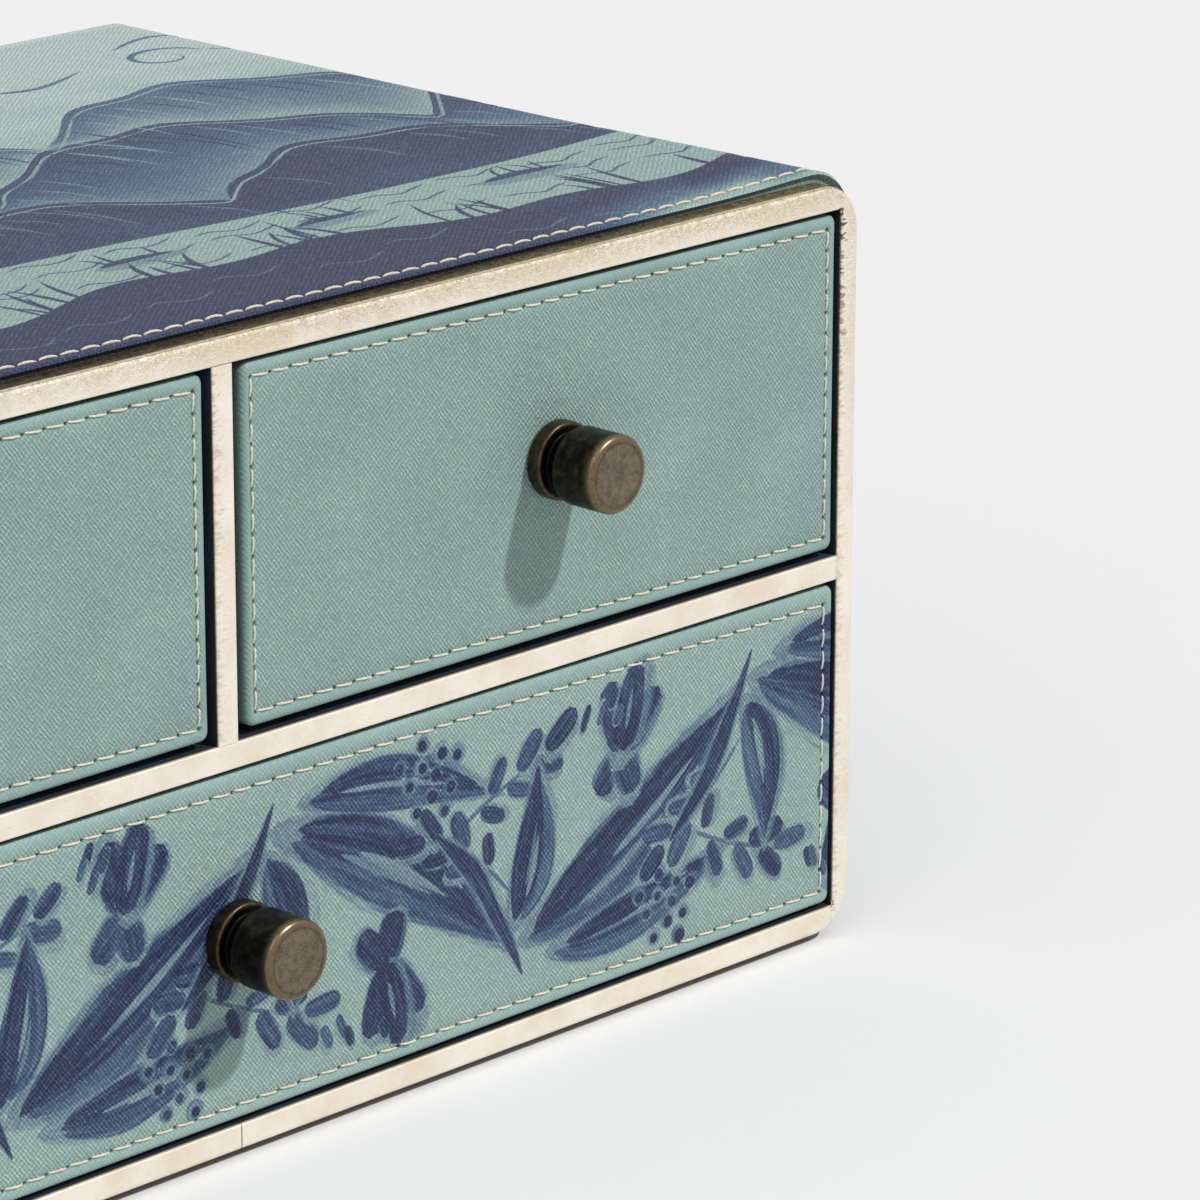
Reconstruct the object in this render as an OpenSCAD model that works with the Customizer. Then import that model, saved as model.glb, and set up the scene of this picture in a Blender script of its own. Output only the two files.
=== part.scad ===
// Desktop mini drawers: a wrapped board case with two small drawers over one wide drawer.
// The origin is at the middle of the footprint, on the surface the case stands on.
// Front view: X runs to the right, Z up, and the drawers slide out along -Y.

/* [Case] */
// Width across the front frame
case_w = 305; // [220:1:380]
// Height of the front frame
case_h = 140; // [115:1:190]
// Depth from the front frame to the back cover
case_d = 190; // [120:1:260]
// Outer corner radius of the front frame
corner_r = 8.7; // [4.5:0.1:11]
// Height of the opening for the wide drawer
lower_open_h = 62.4; // [40:0.1:75]

/* [Boards] */
// Thickness of the side boards
side_t = 3.6; // [2.6:0.1:6]
// Thickness of the top board
top_t = 3.8; // [2.6:0.1:6]
// Thickness of the bottom board
bottom_t = 3.8; // [2.6:0.1:6]
// Thickness of the shelf between the two rows
shelf_t = 3.7; // [2.6:0.1:6]
// Thickness of the divider between the small drawers
divider_t = 3.6; // [2.4:0.1:6]
// Thickness of the back board
back_t = 3; // [2:0.1:6]
// Depth of the grooves that hold the shelf and the divider
groove = 1.2; // [0.6:0.1:1.2]

/* [Front frame] */
// Thickness of the metallic wrap over the front edges of the boards
band_face_t = 0.6; // [0.4:0.05:1.2]
// Thickness of the metallic wrap on the outside of the case
band_t = 0.4; // [0.25:0.05:0.8]
// How far the wrap runs back under the cover
band_reach = 12; // [8:0.5:30]
// Rounding of the frame's outer edge
band_nose_r = 0.8; // [0.3:0.05:1]
// Rounding of the frame's inner edges
band_lip_r = 0.35; // [0.1:0.05:0.4]

/* [Cover, base and lining] */
// Thickness of the leather cover
cover_t = 1.5; // [0.8:0.1:2.5]
// How far the cover's folded edge lies behind the frame
cover_set = 3.4; // [1.5:0.1:6]
// Rounding of the folded edge on the outside
cover_fold_r = 0.8; // [0.2:0.05:0.8]
// Rounding of the folded edge against the frame
cover_tuck_r = 0.5; // [0.1:0.05:0.6]
// Thickness of the back cover
back_cover_t = 1.2; // [0.6:0.1:3]
// How far the base pad stands out below the cover
pad_stand = 0.1; // [0.05:0.05:2]
// Thickness of the velvet lining in the case and in the trays
lining_t = 0.4; // [0.2:0.05:0.8]

/* [Drawer fronts] */
// How far the drawer faces lie behind the frame
face_set = 0.4; // [0:0.1:2]
// Gap between a front and the frame at each side
front_side_gap = 1.6; // [0.6:0.1:2.5]
// How far the small left drawer rests right of its cell's middle, within its running clearance
left_drawer_rest = 0.4; // [0:0.1:1.2]
// How far the small right drawer rests right of its cell's middle
right_drawer_rest = 0.9; // [0:0.1:1.2]
// How far the wide drawer rests right of its cell's middle
wide_drawer_rest = 1.1; // [0:0.1:1.2]
// Gap between a front and the frame above it
front_top_gap = 0.8; // [0.5:0.1:2.5]
// Gap under the fronts of the small drawers
upper_foot_gap = 1.4; // [0.5:0.1:2.5]
// Gap under the front of the wide drawer
lower_foot_gap = 0.8; // [0.5:0.1:2.5]
// Thickness of the board in a front
front_t = 4; // [3:0.1:7]
// Thickness of the leather on a face
leather_t = 1.2; // [0.8:0.1:2]
// Thickness of the leather round the edges of a front
leather_edge_t = 0.8; // [0.5:0.1:1.5]
// Rounding of the edges of a face
face_edge_r = 1.4; // [0.4:0.1:1.7]
// How much larger the corner radius of a face is than its edge rounding
face_corner_more = 0.4; // [0.1:0.1:3]

/* [Trays] */
// Thickness of the tray walls
tray_t = 3; // [2:0.1:5]
// Thickness of the tray floor
tray_floor_t = 2.4; // [1.5:0.1:5]
// Running clearance under a tray
tray_run = 0.3; // [0.2:0.05:0.5]
// Running clearance at each side of a tray
tray_side_run = 1.4; // [0.4:0.1:2]
// Space between a tray's rim and the ceiling over it
tray_headroom = 6; // [2:0.5:14]
// Space behind a closed tray
stop_gap = 0.3; // [0.2:0.05:0.9]

/* [Knobs] */
// Diameter of a knob's head
knob_d = 13.8; // [12:0.1:20]
// Length of the head
knob_head_l = 9.2; // [5:0.1:16]
// Rounding of the head's rims
knob_rim_r = 0.8; // [0.2:0.1:1.2]
// Diameter of the foot plate
knob_foot_d = 13.8; // [11:0.1:20]
// Thickness of the foot plate
knob_foot_t = 3; // [2:0.1:5]
// Rounding of the foot plate's rims
knob_foot_r = 0.5; // [0.1:0.1:0.9]
// Diameter of the neck between them
knob_neck_d = 10; // [7:0.1:10.9]
// Length of the neck
knob_neck_l = 2.9; // [1:0.1:6]
// How far a small drawer's knob sits over the middle of its front
small_knob_rise = 0.6; // [-3:0.1:3]
// How far the wide drawer's knob sits over the middle of its front
wide_knob_rise = 1.7; // [-3:0.1:3]
// Diameter of the knob's screw
screw_d = 4; // [3:0.5:5]
// How far the screw reaches into the knob
screw_reach = 8; // [4:0.5:9]
// Space beyond the screw's tip
screw_tip_gap = 1; // [0.3:0.1:2]
// Play between the screw and the knob's bore, on the radius
screw_play = 0.05; // [0.02:0.01:0.1]
// Play between the screw and the front's hole, on the radius
screw_hole_play = 0.25; // [0.1:0.05:0.5]
// Diameter of the screw's head
screw_head_d = 7.6; // [6.5:0.1:9]
// Height of the screw's head
screw_head_t = 2.4; // [1.6:0.1:3.5]
// Rounding of the screw's head
screw_head_r = 0.8; // [0.2:0.1:0.8]
// Width of the screw's slot
slot_w = 1; // [0.5:0.1:1.4]
// Depth of the screw's slot
slot_depth = 1; // [0.4:0.1:1.2]

/* [Hidden] */
$fn = 64;
over = 1;  // how far a cutter runs past the piece

leatherette_teal = "#8fb0ab";
print_navy = "#3d5277";
metallic_gold = "#e6dac0";
velvet_navy = "#12304a";
board_grey = "#8c857a";
paper_navy = "#1d2c40";
pad_brown = "#5b4a3c";
aged_brass = "#5a5042";
zinc = "#a9a9a4";

// Depths, counted back from the front of the frame
back_cover_y = case_d - back_cover_t;
back_y = back_cover_y - back_t;
front_board_y = face_set + leather_t;
tray_y = front_board_y + front_t;
tray_end_y = back_y - lining_t - stop_gap;

// Inside faces of the boards
inside_x = case_w / 2 - band_t - side_t;
inside_z0 = band_t + bottom_t;
inside_z1 = case_h - band_t - top_t;

// Cells, measured between the lining's faces:
// [centre x, floor, width, height, gap under the front, how far its drawer rests off the centre,
//  how far its knob sits over the front's middle]
lower_w = 2 * (inside_x - lining_t);
lower_z = inside_z0 + lining_t;
shelf_z = lower_z + lower_open_h + lining_t;
upper_w = lower_w / 2 - divider_t / 2 - lining_t;
upper_x = (lower_w - upper_w) / 2;
upper_z = shelf_z + shelf_t + lining_t;
upper_h = inside_z1 - lining_t - upper_z;
upper_left = [-upper_x, upper_z, upper_w, upper_h, upper_foot_gap, left_drawer_rest,
    small_knob_rise];
upper_right = [upper_x, upper_z, upper_w, upper_h, upper_foot_gap, right_drawer_rest,
    small_knob_rise];
lower = [0, lower_z, lower_w, lower_open_h, lower_foot_gap, wide_drawer_rest, wide_knob_rise];

// The whole part stands centred on its footprint, with the knobs counted in
pad_t = cover_t + pad_stand;
knob_l = knob_foot_t + knob_neck_l + knob_head_l;
knob_out = knob_l - face_set;
front_y = (knob_out - case_d) / 2;

// ---- Building in the front view ----
// Pieces are drawn as seen from the front: X to the right, Y up, and depth along -Z.

module standing() {
    translate([0, front_y, pad_t]) rotate([90, 0, 0]) children();
}

// A flat outline carried from one depth to another
module through(y0, y1) {
    translate([0, 0, -y1]) linear_extrude(height = y1 - y0) children();
}

module box(x0, x1, z0, z1, y0, y1) {
    translate([x0, z0, -y1]) cube([x1 - x0, z1 - z0, y1 - y0]);
}

// Rectangle with rounded corners about its middle
module rounded_rect(w, h, r) {
    square([w - 2 * r, h], center = true);
    square([w, h - 2 * r], center = true);
    for (sx = [-1, 1], sz = [-1, 1])
        translate([sx * (w / 2 - r), sz * (h / 2 - r)]) circle(r);
}

// The case's outline, grown outwards by a thickness
module case_outline(grow) {
    translate([0, case_h / 2]) rounded_rect(case_w + 2 * grow, case_h + 2 * grow, corner_r + grow);
}

// What a round edge leaves of a square one; the origin is at the rounding's centre
module edge_waste(r) {
    difference() {
        square(r + over);
        circle(r);
    }
}

// Cutter that rounds the front edge of a rounded rectangle: side 1 rounds its rim, -1 its bore
module round_over(w, h, corner, r, side = 1) {
    for (k = [0:3]) {
        half = k % 2 == 0 ? w / 2 : h / 2;
        run = (k % 2 == 0 ? h : w) - 2 * corner;
        rotate([0, 0, 90 * k]) translate([half - side * r, run / 2, -r])
            rotate([90, 0, 0]) linear_extrude(height = run) scale_side(side) edge_waste(r);
        sx = k == 0 || k == 3 ? 1 : -1;
        sz = k < 2 ? 1 : -1;
        translate([sx * (w / 2 - corner), sz * (h / 2 - corner), 0]) rotate([0, 0, 90 * k])
            rotate_extrude(angle = 90) translate([corner - side * r, -r])
            scale_side(side) edge_waste(r);
    }
}

module scale_side(side) {
    if (side > 0)
        children();
    else
        mirror([1, 0]) children();
}

// Rectangle in the front view, rounded over along the front of its four edges from the inside
module opening_lip(x0, x1, z0, z1, r) {
    w = x1 - x0;
    h = z1 - z0;
    translate([(x0 + x1) / 2, (z0 + z1) / 2, 0])
        for (k = [0:3]) {
            half = k % 2 == 0 ? w / 2 : h / 2;
            run = k % 2 == 0 ? h : w;
            rotate([0, 0, 90 * k]) translate([half + r, run / 2 + r, -r])
                rotate([90, 0, 0]) linear_extrude(height = run + 2 * r)
                mirror([1, 0]) edge_waste(r);
        }
}

// Outline of a bar with rounded rims, to be turned about its axis
module turned_bar(r, l, rim) {
    square([r - rim, l]);
    translate([0, rim]) square([r, l - 2 * rim]);
    for (y = [rim, l - rim])
        translate([r - rim, y]) circle(rim);
}

// ---- Case boards ----

module board_outline() {
    case_outline(-band_t);
}

module top_board() {
    color(board_grey) standing() difference() {
        through(band_face_t, back_cover_y) intersection() {
            board_outline();
            translate([-case_w, inside_z1]) square([2 * case_w, case_h]);
        }
        divider_space();
    }
}

module bottom_board() {
    color(board_grey) standing() through(band_face_t, back_cover_y) intersection() {
        board_outline();
        translate([-case_w, inside_z0 - case_h]) square([2 * case_w, case_h]);
    }
}

module side_board(side) {
    color(board_grey) standing() difference() {
        through(band_face_t, back_cover_y) intersection() {
            board_outline();
            translate([side > 0 ? inside_x : -inside_x - case_w, inside_z0])
                square([case_w, inside_z1 - inside_z0]);
        }
        shelf_space();
    }
}

module back_board() {
    color(board_grey) standing()
        box(-inside_x, inside_x, inside_z0, inside_z1, back_y, back_cover_y);
}

// The room that the shelf takes, grooves included
module shelf_space() {
    box(-inside_x - groove, inside_x + groove, shelf_z, shelf_z + shelf_t, band_face_t, back_y);
}

// The room that the divider takes, grooves included
module divider_space() {
    box(-divider_t / 2, divider_t / 2, shelf_z + shelf_t - groove, inside_z1 + groove,
        band_face_t, back_y);
}

module shelf_board() {
    color(board_grey) standing() difference() {
        shelf_space();
        divider_space();
    }
}

module divider_board() {
    color(board_grey) standing() divider_space();
}

// ---- Metallic wrap on the front edges ----

// The ring round all three openings, with its flange under the cover
module front_edge_band() {
    x = lower_w / 2;
    z0 = lower_z;
    z1 = upper_z + upper_h;
    color(metallic_gold) standing() difference() {
        through(0, band_reach) case_outline(0);
        through(band_face_t, band_reach + over) board_outline();
        box(-x, x, z0, z1, -over, band_reach);
        translate([0, case_h / 2, 0]) round_over(case_w, case_h, corner_r, band_nose_r);
        opening_lip(-x, x, z0, z1, band_lip_r);
    }
}

module shelf_edge_band() {
    x = lower_w / 2;
    z0 = shelf_z - lining_t;
    z1 = upper_z;
    color(metallic_gold) standing() difference() {
        box(-x, x, z0, z1, 0, band_face_t);
        opening_lip(-2 * x, 2 * x, z1, z1 + case_h, band_lip_r);
        opening_lip(-2 * x, 2 * x, z0 - case_h, z0, band_lip_r);
    }
}

module divider_edge_band() {
    x = divider_t / 2 + lining_t;
    z0 = upper_z;
    z1 = upper_z + upper_h;
    color(metallic_gold) standing() difference() {
        box(-x, x, z0, z1, 0, band_face_t);
        opening_lip(x, x + case_w, z0 - case_h, z1 + case_h, band_lip_r);
        opening_lip(-x - case_w, -x, z0 - case_h, z1 + case_h, band_lip_r);
    }
}

// ---- Cover, base pad and back ----

// What the cover and the pad lie on: the wrap's flange in front, the boards behind it
module wrapped_case() {
    through(-over, band_reach) case_outline(0);
    through(band_reach, case_d + over) board_outline();
}

// Leather round the top and both sides, its front edge folded under
module cover_wrap() {
    outer_w = case_w + 2 * cover_t;
    outer_h = case_h + 2 * cover_t;
    flat_x = case_w / 2 - corner_r;
    color(print_navy) standing() difference() {
        through(cover_set, case_d) case_outline(cover_t);
        wrapped_case();
        box(-flat_x, flat_x, -cover_t - over, case_h / 2, 0, case_d + over);
        translate([0, case_h / 2, -cover_set]) {
            round_over(outer_w, outer_h, corner_r + cover_t, min(cover_fold_r, 0.54 * cover_t));
            round_over(case_w, case_h, corner_r, min(cover_tuck_r, 0.35 * cover_t), -1);
        }
    }
}

module base_pad() {
    x = case_w / 2 - corner_r;
    color(pad_brown) standing() difference() {
        box(-x, x, -pad_t, inside_z0, cover_set, case_d);
        wrapped_case();
    }
}

module back_cover() {
    color(leatherette_teal) standing() through(back_cover_y, case_d) board_outline();
}

// ---- Velvet lining ----

module cell_lining(cell) {
    x0 = cell[0] - cell[2] / 2;
    x1 = cell[0] + cell[2] / 2;
    z1 = cell[1] + cell[3];
    color(velvet_navy) standing() difference() {
        box(x0 - lining_t, x1 + lining_t, cell[1] - lining_t, z1 + lining_t, band_face_t, back_y);
        box(x0, x1, cell[1], z1, 0, back_y - lining_t);
    }
}

// ---- Drawers ----

function drawer_x(cell) = cell[0] + cell[5];
function front_w(cell) = cell[2] - 2 * front_side_gap;
function front_h(cell) = cell[3] - front_top_gap - cell[4];
function front_mid_z(cell) = cell[1] + cell[4] + front_h(cell) / 2;
function knob_z(cell) = front_mid_z(cell) + cell[6];
function tray_x(cell) = cell[2] / 2 - tray_side_run;
function tray_z0(cell) = cell[1] + tray_run;
function tray_z1(cell) = cell[1] + cell[3] - tray_headroom;

// Hole for the knob's screw, through the whole front
module screw_hole(cell) {
    translate([drawer_x(cell), knob_z(cell), -tray_y - lining_t - over])
        cylinder(r = screw_d / 2 + screw_hole_play, h = tray_y + lining_t + 2 * over);
}

module front_board(cell) {
    w = front_w(cell) - 2 * leather_edge_t;
    h = front_h(cell) - 2 * leather_edge_t;
    color(board_grey) standing() difference() {
        translate([drawer_x(cell), front_mid_z(cell), 0]) through(front_board_y, tray_y)
            rounded_rect(w, h, face_edge_r + face_corner_more - leather_edge_t / 2);
        screw_hole(cell);
    }
}

// Leather over the face and round the edges, like a shallow cap on the board
module front_leather(cell) {
    w = front_w(cell);
    h = front_h(cell);
    r = face_edge_r + face_corner_more;
    color(leatherette_teal) standing() difference() {
        translate([drawer_x(cell), front_mid_z(cell), 0]) difference() {
            through(face_set, tray_y) rounded_rect(w, h, r);
            through(front_board_y, tray_y + over)
                rounded_rect(w - 2 * leather_edge_t, h - 2 * leather_edge_t,
                    r - leather_edge_t / 2);
            translate([0, 0, -face_set]) round_over(w, h, r, face_edge_r);
        }
        screw_hole(cell);
    }
}

module tray_side_wall(cell, side) {
    x = tray_x(cell);
    color(paper_navy) standing() translate([drawer_x(cell), 0, 0])
        box(side > 0 ? x - tray_t : -x, side > 0 ? x : tray_t - x,
            tray_z0(cell), tray_z1(cell), tray_y, tray_end_y);
}

module tray_back_wall(cell) {
    x = tray_x(cell) - tray_t;
    color(paper_navy) standing() translate([drawer_x(cell), 0, 0])
        box(-x, x, tray_z0(cell), tray_z1(cell), tray_end_y - tray_t, tray_end_y);
}

module tray_floor(cell) {
    x = tray_x(cell) - tray_t;
    z = tray_z0(cell);
    color(paper_navy) standing() translate([drawer_x(cell), 0, 0])
        box(-x, x, z, z + tray_floor_t, tray_y, tray_end_y - tray_t);
}

// Velvet on the tray's floor and round its four walls
module tray_lining(cell) {
    x = tray_x(cell) - tray_t;
    z = tray_z0(cell) + tray_floor_t;
    y = tray_end_y - tray_t;
    color(velvet_navy) standing() difference() {
        translate([drawer_x(cell), 0, 0]) difference() {
            box(-x, x, z, tray_z1(cell), tray_y, y);
            box(lining_t - x, x - lining_t, z + lining_t, case_h,
                tray_y + lining_t, y - lining_t);
        }
        screw_hole(cell);
    }
}

// ---- Knobs and their screws ----

// Turned in one piece: foot plate, neck and head, bored from behind for the screw
module knob(cell) {
    bore_r = screw_d / 2 + screw_play;
    head = knob_foot_t + knob_neck_l;
    color(aged_brass) standing() translate([drawer_x(cell), knob_z(cell), -face_set]) difference() {
        rotate_extrude() {
            turned_bar(knob_foot_d / 2, knob_foot_t, knob_foot_r);
            translate([0, knob_foot_t / 2]) square([knob_neck_d / 2, head]);
            translate([0, head]) turned_bar(knob_d / 2, knob_head_l, knob_rim_r);
        }
        translate([0, 0, -over]) cylinder(r = bore_r, h = screw_reach + screw_tip_gap + over);
    }
}

// Pan head screw from inside the tray
module knob_screw(cell) {
    seat = tray_y + lining_t;
    color(zinc) standing() translate([drawer_x(cell), knob_z(cell), 0]) difference() {
        union() {
            through(face_set - screw_reach, seat + screw_head_t / 2) circle(screw_d / 2);
            translate([0, 0, -seat - screw_head_t])
                rotate_extrude() intersection() {
                    turned_bar(screw_head_d / 2, 2 * screw_head_t, screw_head_r);
                    square([screw_head_d, screw_head_t]);
                }
        }
        for (turn = [0, 90])
            rotate([0, 0, turn]) translate([-screw_head_d / 4, -slot_w / 2, -seat - screw_head_t - over])
                cube([screw_head_d / 2, slot_w, slot_depth + over]);
    }
}

front_edge_band();
shelf_edge_band();
divider_edge_band();
top_board();
bottom_board();
side_board(-1);  // left_side_board
side_board(1);  // right_side_board
back_board();
shelf_board();
divider_board();
cover_wrap();
back_cover();
base_pad();
cell_lining(upper_left);  // lining_upper_left
cell_lining(upper_right);  // lining_upper_right
cell_lining(lower);  // lining_lower

front_board(upper_left);  // upper_left_front_board
front_leather(upper_left);  // upper_left_front_leather
tray_side_wall(upper_left, -1);  // upper_left_tray_left_wall
tray_side_wall(upper_left, 1);  // upper_left_tray_right_wall
tray_back_wall(upper_left);  // upper_left_tray_back_wall
tray_floor(upper_left);  // upper_left_tray_floor
tray_lining(upper_left);  // upper_left_tray_lining
knob(upper_left);  // upper_left_knob
knob_screw(upper_left);  // upper_left_knob_screw

front_board(upper_right);  // upper_right_front_board
front_leather(upper_right);  // upper_right_front_leather
tray_side_wall(upper_right, -1);  // upper_right_tray_left_wall
tray_side_wall(upper_right, 1);  // upper_right_tray_right_wall
tray_back_wall(upper_right);  // upper_right_tray_back_wall
tray_floor(upper_right);  // upper_right_tray_floor
tray_lining(upper_right);  // upper_right_tray_lining
knob(upper_right);  // upper_right_knob
knob_screw(upper_right);  // upper_right_knob_screw

front_board(lower);  // lower_front_board
front_leather(lower);  // lower_front_leather
tray_side_wall(lower, -1);  // lower_tray_left_wall
tray_side_wall(lower, 1);  // lower_tray_right_wall
tray_back_wall(lower);  // lower_tray_back_wall
tray_floor(lower);  // lower_tray_floor
tray_lining(lower);  // lower_tray_lining
knob(lower);  // lower_knob
knob_screw(lower);  // lower_knob_screw
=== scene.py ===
# %% [markdown]
# # A desktop box of mini drawers
#
# The real object is a board case covered in leatherette. Two small drawers sit over one wide drawer,
# inside a frame wrapped in champagne-coloured leatherette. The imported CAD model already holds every
# board, wall, screw and gap at its real size. This lesson dresses it: it replaces the leather, which is
# soft and stitched, keeps the hard and hidden pieces, and gives everything a finish.

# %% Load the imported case
import math
import random
from copy import copy
from functools import partial

import bmesh
import bpy
from mathutils import Matrix, Vector, noise
from mathutils.geometry import delaunay_2d_cdt


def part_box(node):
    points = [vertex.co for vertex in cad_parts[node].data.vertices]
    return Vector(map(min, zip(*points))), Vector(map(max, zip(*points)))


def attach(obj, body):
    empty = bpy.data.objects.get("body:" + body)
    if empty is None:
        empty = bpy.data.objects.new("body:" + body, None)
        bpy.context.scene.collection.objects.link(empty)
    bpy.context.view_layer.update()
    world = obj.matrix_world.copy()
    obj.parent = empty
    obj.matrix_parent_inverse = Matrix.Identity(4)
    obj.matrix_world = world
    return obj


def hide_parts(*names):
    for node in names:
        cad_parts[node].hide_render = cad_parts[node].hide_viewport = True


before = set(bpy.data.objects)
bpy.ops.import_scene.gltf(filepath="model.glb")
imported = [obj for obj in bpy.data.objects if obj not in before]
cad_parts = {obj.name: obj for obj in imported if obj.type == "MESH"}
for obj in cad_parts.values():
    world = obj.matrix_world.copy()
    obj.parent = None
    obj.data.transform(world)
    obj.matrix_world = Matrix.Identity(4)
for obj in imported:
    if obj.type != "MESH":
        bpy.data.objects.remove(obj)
scene = bpy.context.scene


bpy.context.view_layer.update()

# %% [markdown]
# ## Sizes that the pieces share
#
# A piece goes where the CAD says, so every place below comes from a node's box. Lengths that belong to
# the leatherwork itself, such as how far a seam lies from an edge, are real sizes in millimetres.


# %% Read the case's sizes
MM = 0.001
PER_MM = (1 / MM, 1 / MM, 1 / MM)
DRAWERS = ("upper_left", "upper_right", "lower")


def box_mm(node):
    """A node's lowest and highest corners in millimetres."""
    return [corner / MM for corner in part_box(node)]


band_low, band_high = box_mm("front_edge_band")
cover_low, cover_high = box_mm("cover_wrap")
face_boxes = {drawer: box_mm(f"{drawer}_front_leather") for drawer in DRAWERS}
knob_boxes = {drawer: box_mm(f"{drawer}_knob") for drawer in DRAWERS}
print("the frame's front lies at y =", round(band_low.y, 2), "mm, its foot at z =", round(band_low.z, 2))

# %% [markdown]
# ## Writing a material
#
# Colours are kept as the hex values that a colour picker gives. Blender's sockets want linear light, so
# one function converts them. A second one adds a node with its settings and links in one line, which
# keeps each recipe short enough to read from top to bottom.


# %% Helpers for materials
IN_COLOUR = {"data_type": "RGBA", "out": 2}     # the settings with which a mix node mixes colours


def linear(hex_colour):
    """An sRGB hex colour as the linear RGBA that a socket takes."""
    channels = [int(hex_colour[i:i + 2], 16) / 255 for i in (1, 3, 5)]
    return (*[c / 12.92 if c <= 0.04045 else ((c + 0.055) / 1.055) ** 2.4 for c in channels], 1.0)


def add_to(tree, kind, inputs=None, out=0, stops=None, span=(), **settings):
    """Adds a shader node with its settings, sets or links its inputs, and returns one of its outputs.
    Inputs go by name or number, or in order where they are only a list. Stops are a colour ramp's
    (position, hex colour) pairs, and span is what a range goes from and to."""
    made = tree.nodes.new("ShaderNode" + kind)
    for name, value in settings.items():
        setattr(made, name, value)
    named = inputs if isinstance(inputs, dict) else dict(enumerate(inputs or ()))
    ends = dict(zip(("From Min", "From Max", "To Min", "To Max"), span))
    for key, value in {**named, **ends}.items():
        if isinstance(value, bpy.types.NodeSocket):
            tree.links.new(value, made.inputs[key])
        else:
            made.inputs[key].default_value = value
    if stops:
        band = made.color_ramp.elements
        band.remove(band[1])
        band[0].position, band[0].color = stops[0][0], linear(stops[0][1])
        for position, hex_colour in stops[1:]:
            band.new(position).color = linear(hex_colour)
    return made.outputs[out] if made.outputs else made


def blank_material(name, colour):
    """A material in the colour that the plain view shows, and the function that adds to its empty tree."""
    made = bpy.data.materials.new(name)
    made.use_nodes = True
    made.node_tree.nodes.clear()
    made.diffuse_color = linear(colour)
    return made, partial(add_to, made.node_tree)


def place_in_mm(add, **turned):
    """The object's own place in millimetres, so that a pattern keeps its real size."""
    return add("Mapping", {"Vector": add("TexCoord", out="Object"), "Scale": PER_MM, **turned})


print("teal in linear light:", [round(v, 3) for v in linear("#8fb0ab")])

# %% [markdown]
# ## Cross-grained leatherette
#
# The case is covered in a split hide or PVC that a hot plate has pressed with a fine cross grain: short
# slanting ridges that run both ways, a bit under 1 mm apart. A picture of leather could be mapped on,
# but a formula stays sharp at any size. It works in the flat hide's own millimetres, which every
# leather mesh below carries as its map, so that the grain has one scale all over the case.

# %% The pressed cross grain
GRAIN = ((-50, 0.86, 0.85), (38, 0.64, 1.0))   # degrees across, mm from ridge to ridge, share
GRAIN_DEPTH = 0.19      # mm
WAVE_SPAN = 0.314159    # the wave texture's own length at scale 1


def cross_grain(add, place):
    """Height of the pressed ridges from 0 to 1, and how pale the steeper ridges' tops are: rubbed pale,
    and partly painted glints.
    """
    sides = []
    patches = add("TexNoise", {"Vector": place, "Scale": 0.45, "Detail": 2.0})
    for angle, pitch, share in GRAIN:
        turned = add("Mapping", {"Vector": place, "Rotation": (0, 0, math.radians(-angle))})
        ridge = add("TexWave", {"Vector": turned, "Scale": WAVE_SPAN / pitch, "Distortion": 3.2,
                                "Detail": 2.0, "Detail Scale": 1.1})
        long = add("Mapping", {"Vector": turned, "Scale": (1.5, 0.35, 1.0)})
        breaks = add("TexNoise", {"Vector": long, "Scale": 1.0, "Detail": 2.0})
        leaning = -1.0 if sides else 1.0     # where one family fades, the other comes up
        breaks = add("Math", (patches, 0.7 * leaning, breaks), operation="MULTIPLY_ADD")
        least, most = 0.3 + 0.35 * leaning, 0.68 + 0.35 * leaning
        breaks = add("MapRange", {"Value": breaks}, span=(least, most, 0.12 * share, share))
        sides.append(add("Math", (ridge, breaks), operation="MULTIPLY"))
    height = add("Math", (sides[0], sides[1]), operation="ADD")
    grit = add("TexNoise", {"Vector": place, "Scale": 2.9, "Detail": 1.0})
    height = add("Math", (grit, 0.5, height), operation="MULTIPLY_ADD")
    height = add("MapRange", {"Value": height}, span=(0.25, 1.5))
    # Pale flecks on the ridge tops: partly rubbed pale, partly painted glints.
    rubbed = add("MapRange", {"Value": grit}, span=(0.42, 0.66))
    return height, add("Math", (rubbed, sides[1]), operation="MULTIPLY")


print("ridges every", [pitch for angle, pitch, share in GRAIN], "mm")

# %% [markdown]
# ## Teal leatherette and the printed hide
#
# The small drawers' faces are cut from a pale teal hide. The cover and the wide drawer's face are cut
# from the same hide after printing in navy ink. The print is drawn into the mesh itself, as strokes that
# each carry how far along and how far across the stroke a point lies. The material can then give every
# stroke its bristle marks and its dark rim, which a flat picture would not know about.

# %% Teal leatherette, plain or printed
INK_STOPS = ((0.0, "#a9bab9"), (0.1, "#87a39d"), (0.26, "#6c8590"), (0.44, "#46637b"), (0.62, "#31496a"),
             (0.82, "#223052"), (1.0, "#171f3e"))
PRINT_LAYERS = ("under_stroke", "middle_stroke", "over_stroke")


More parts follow.
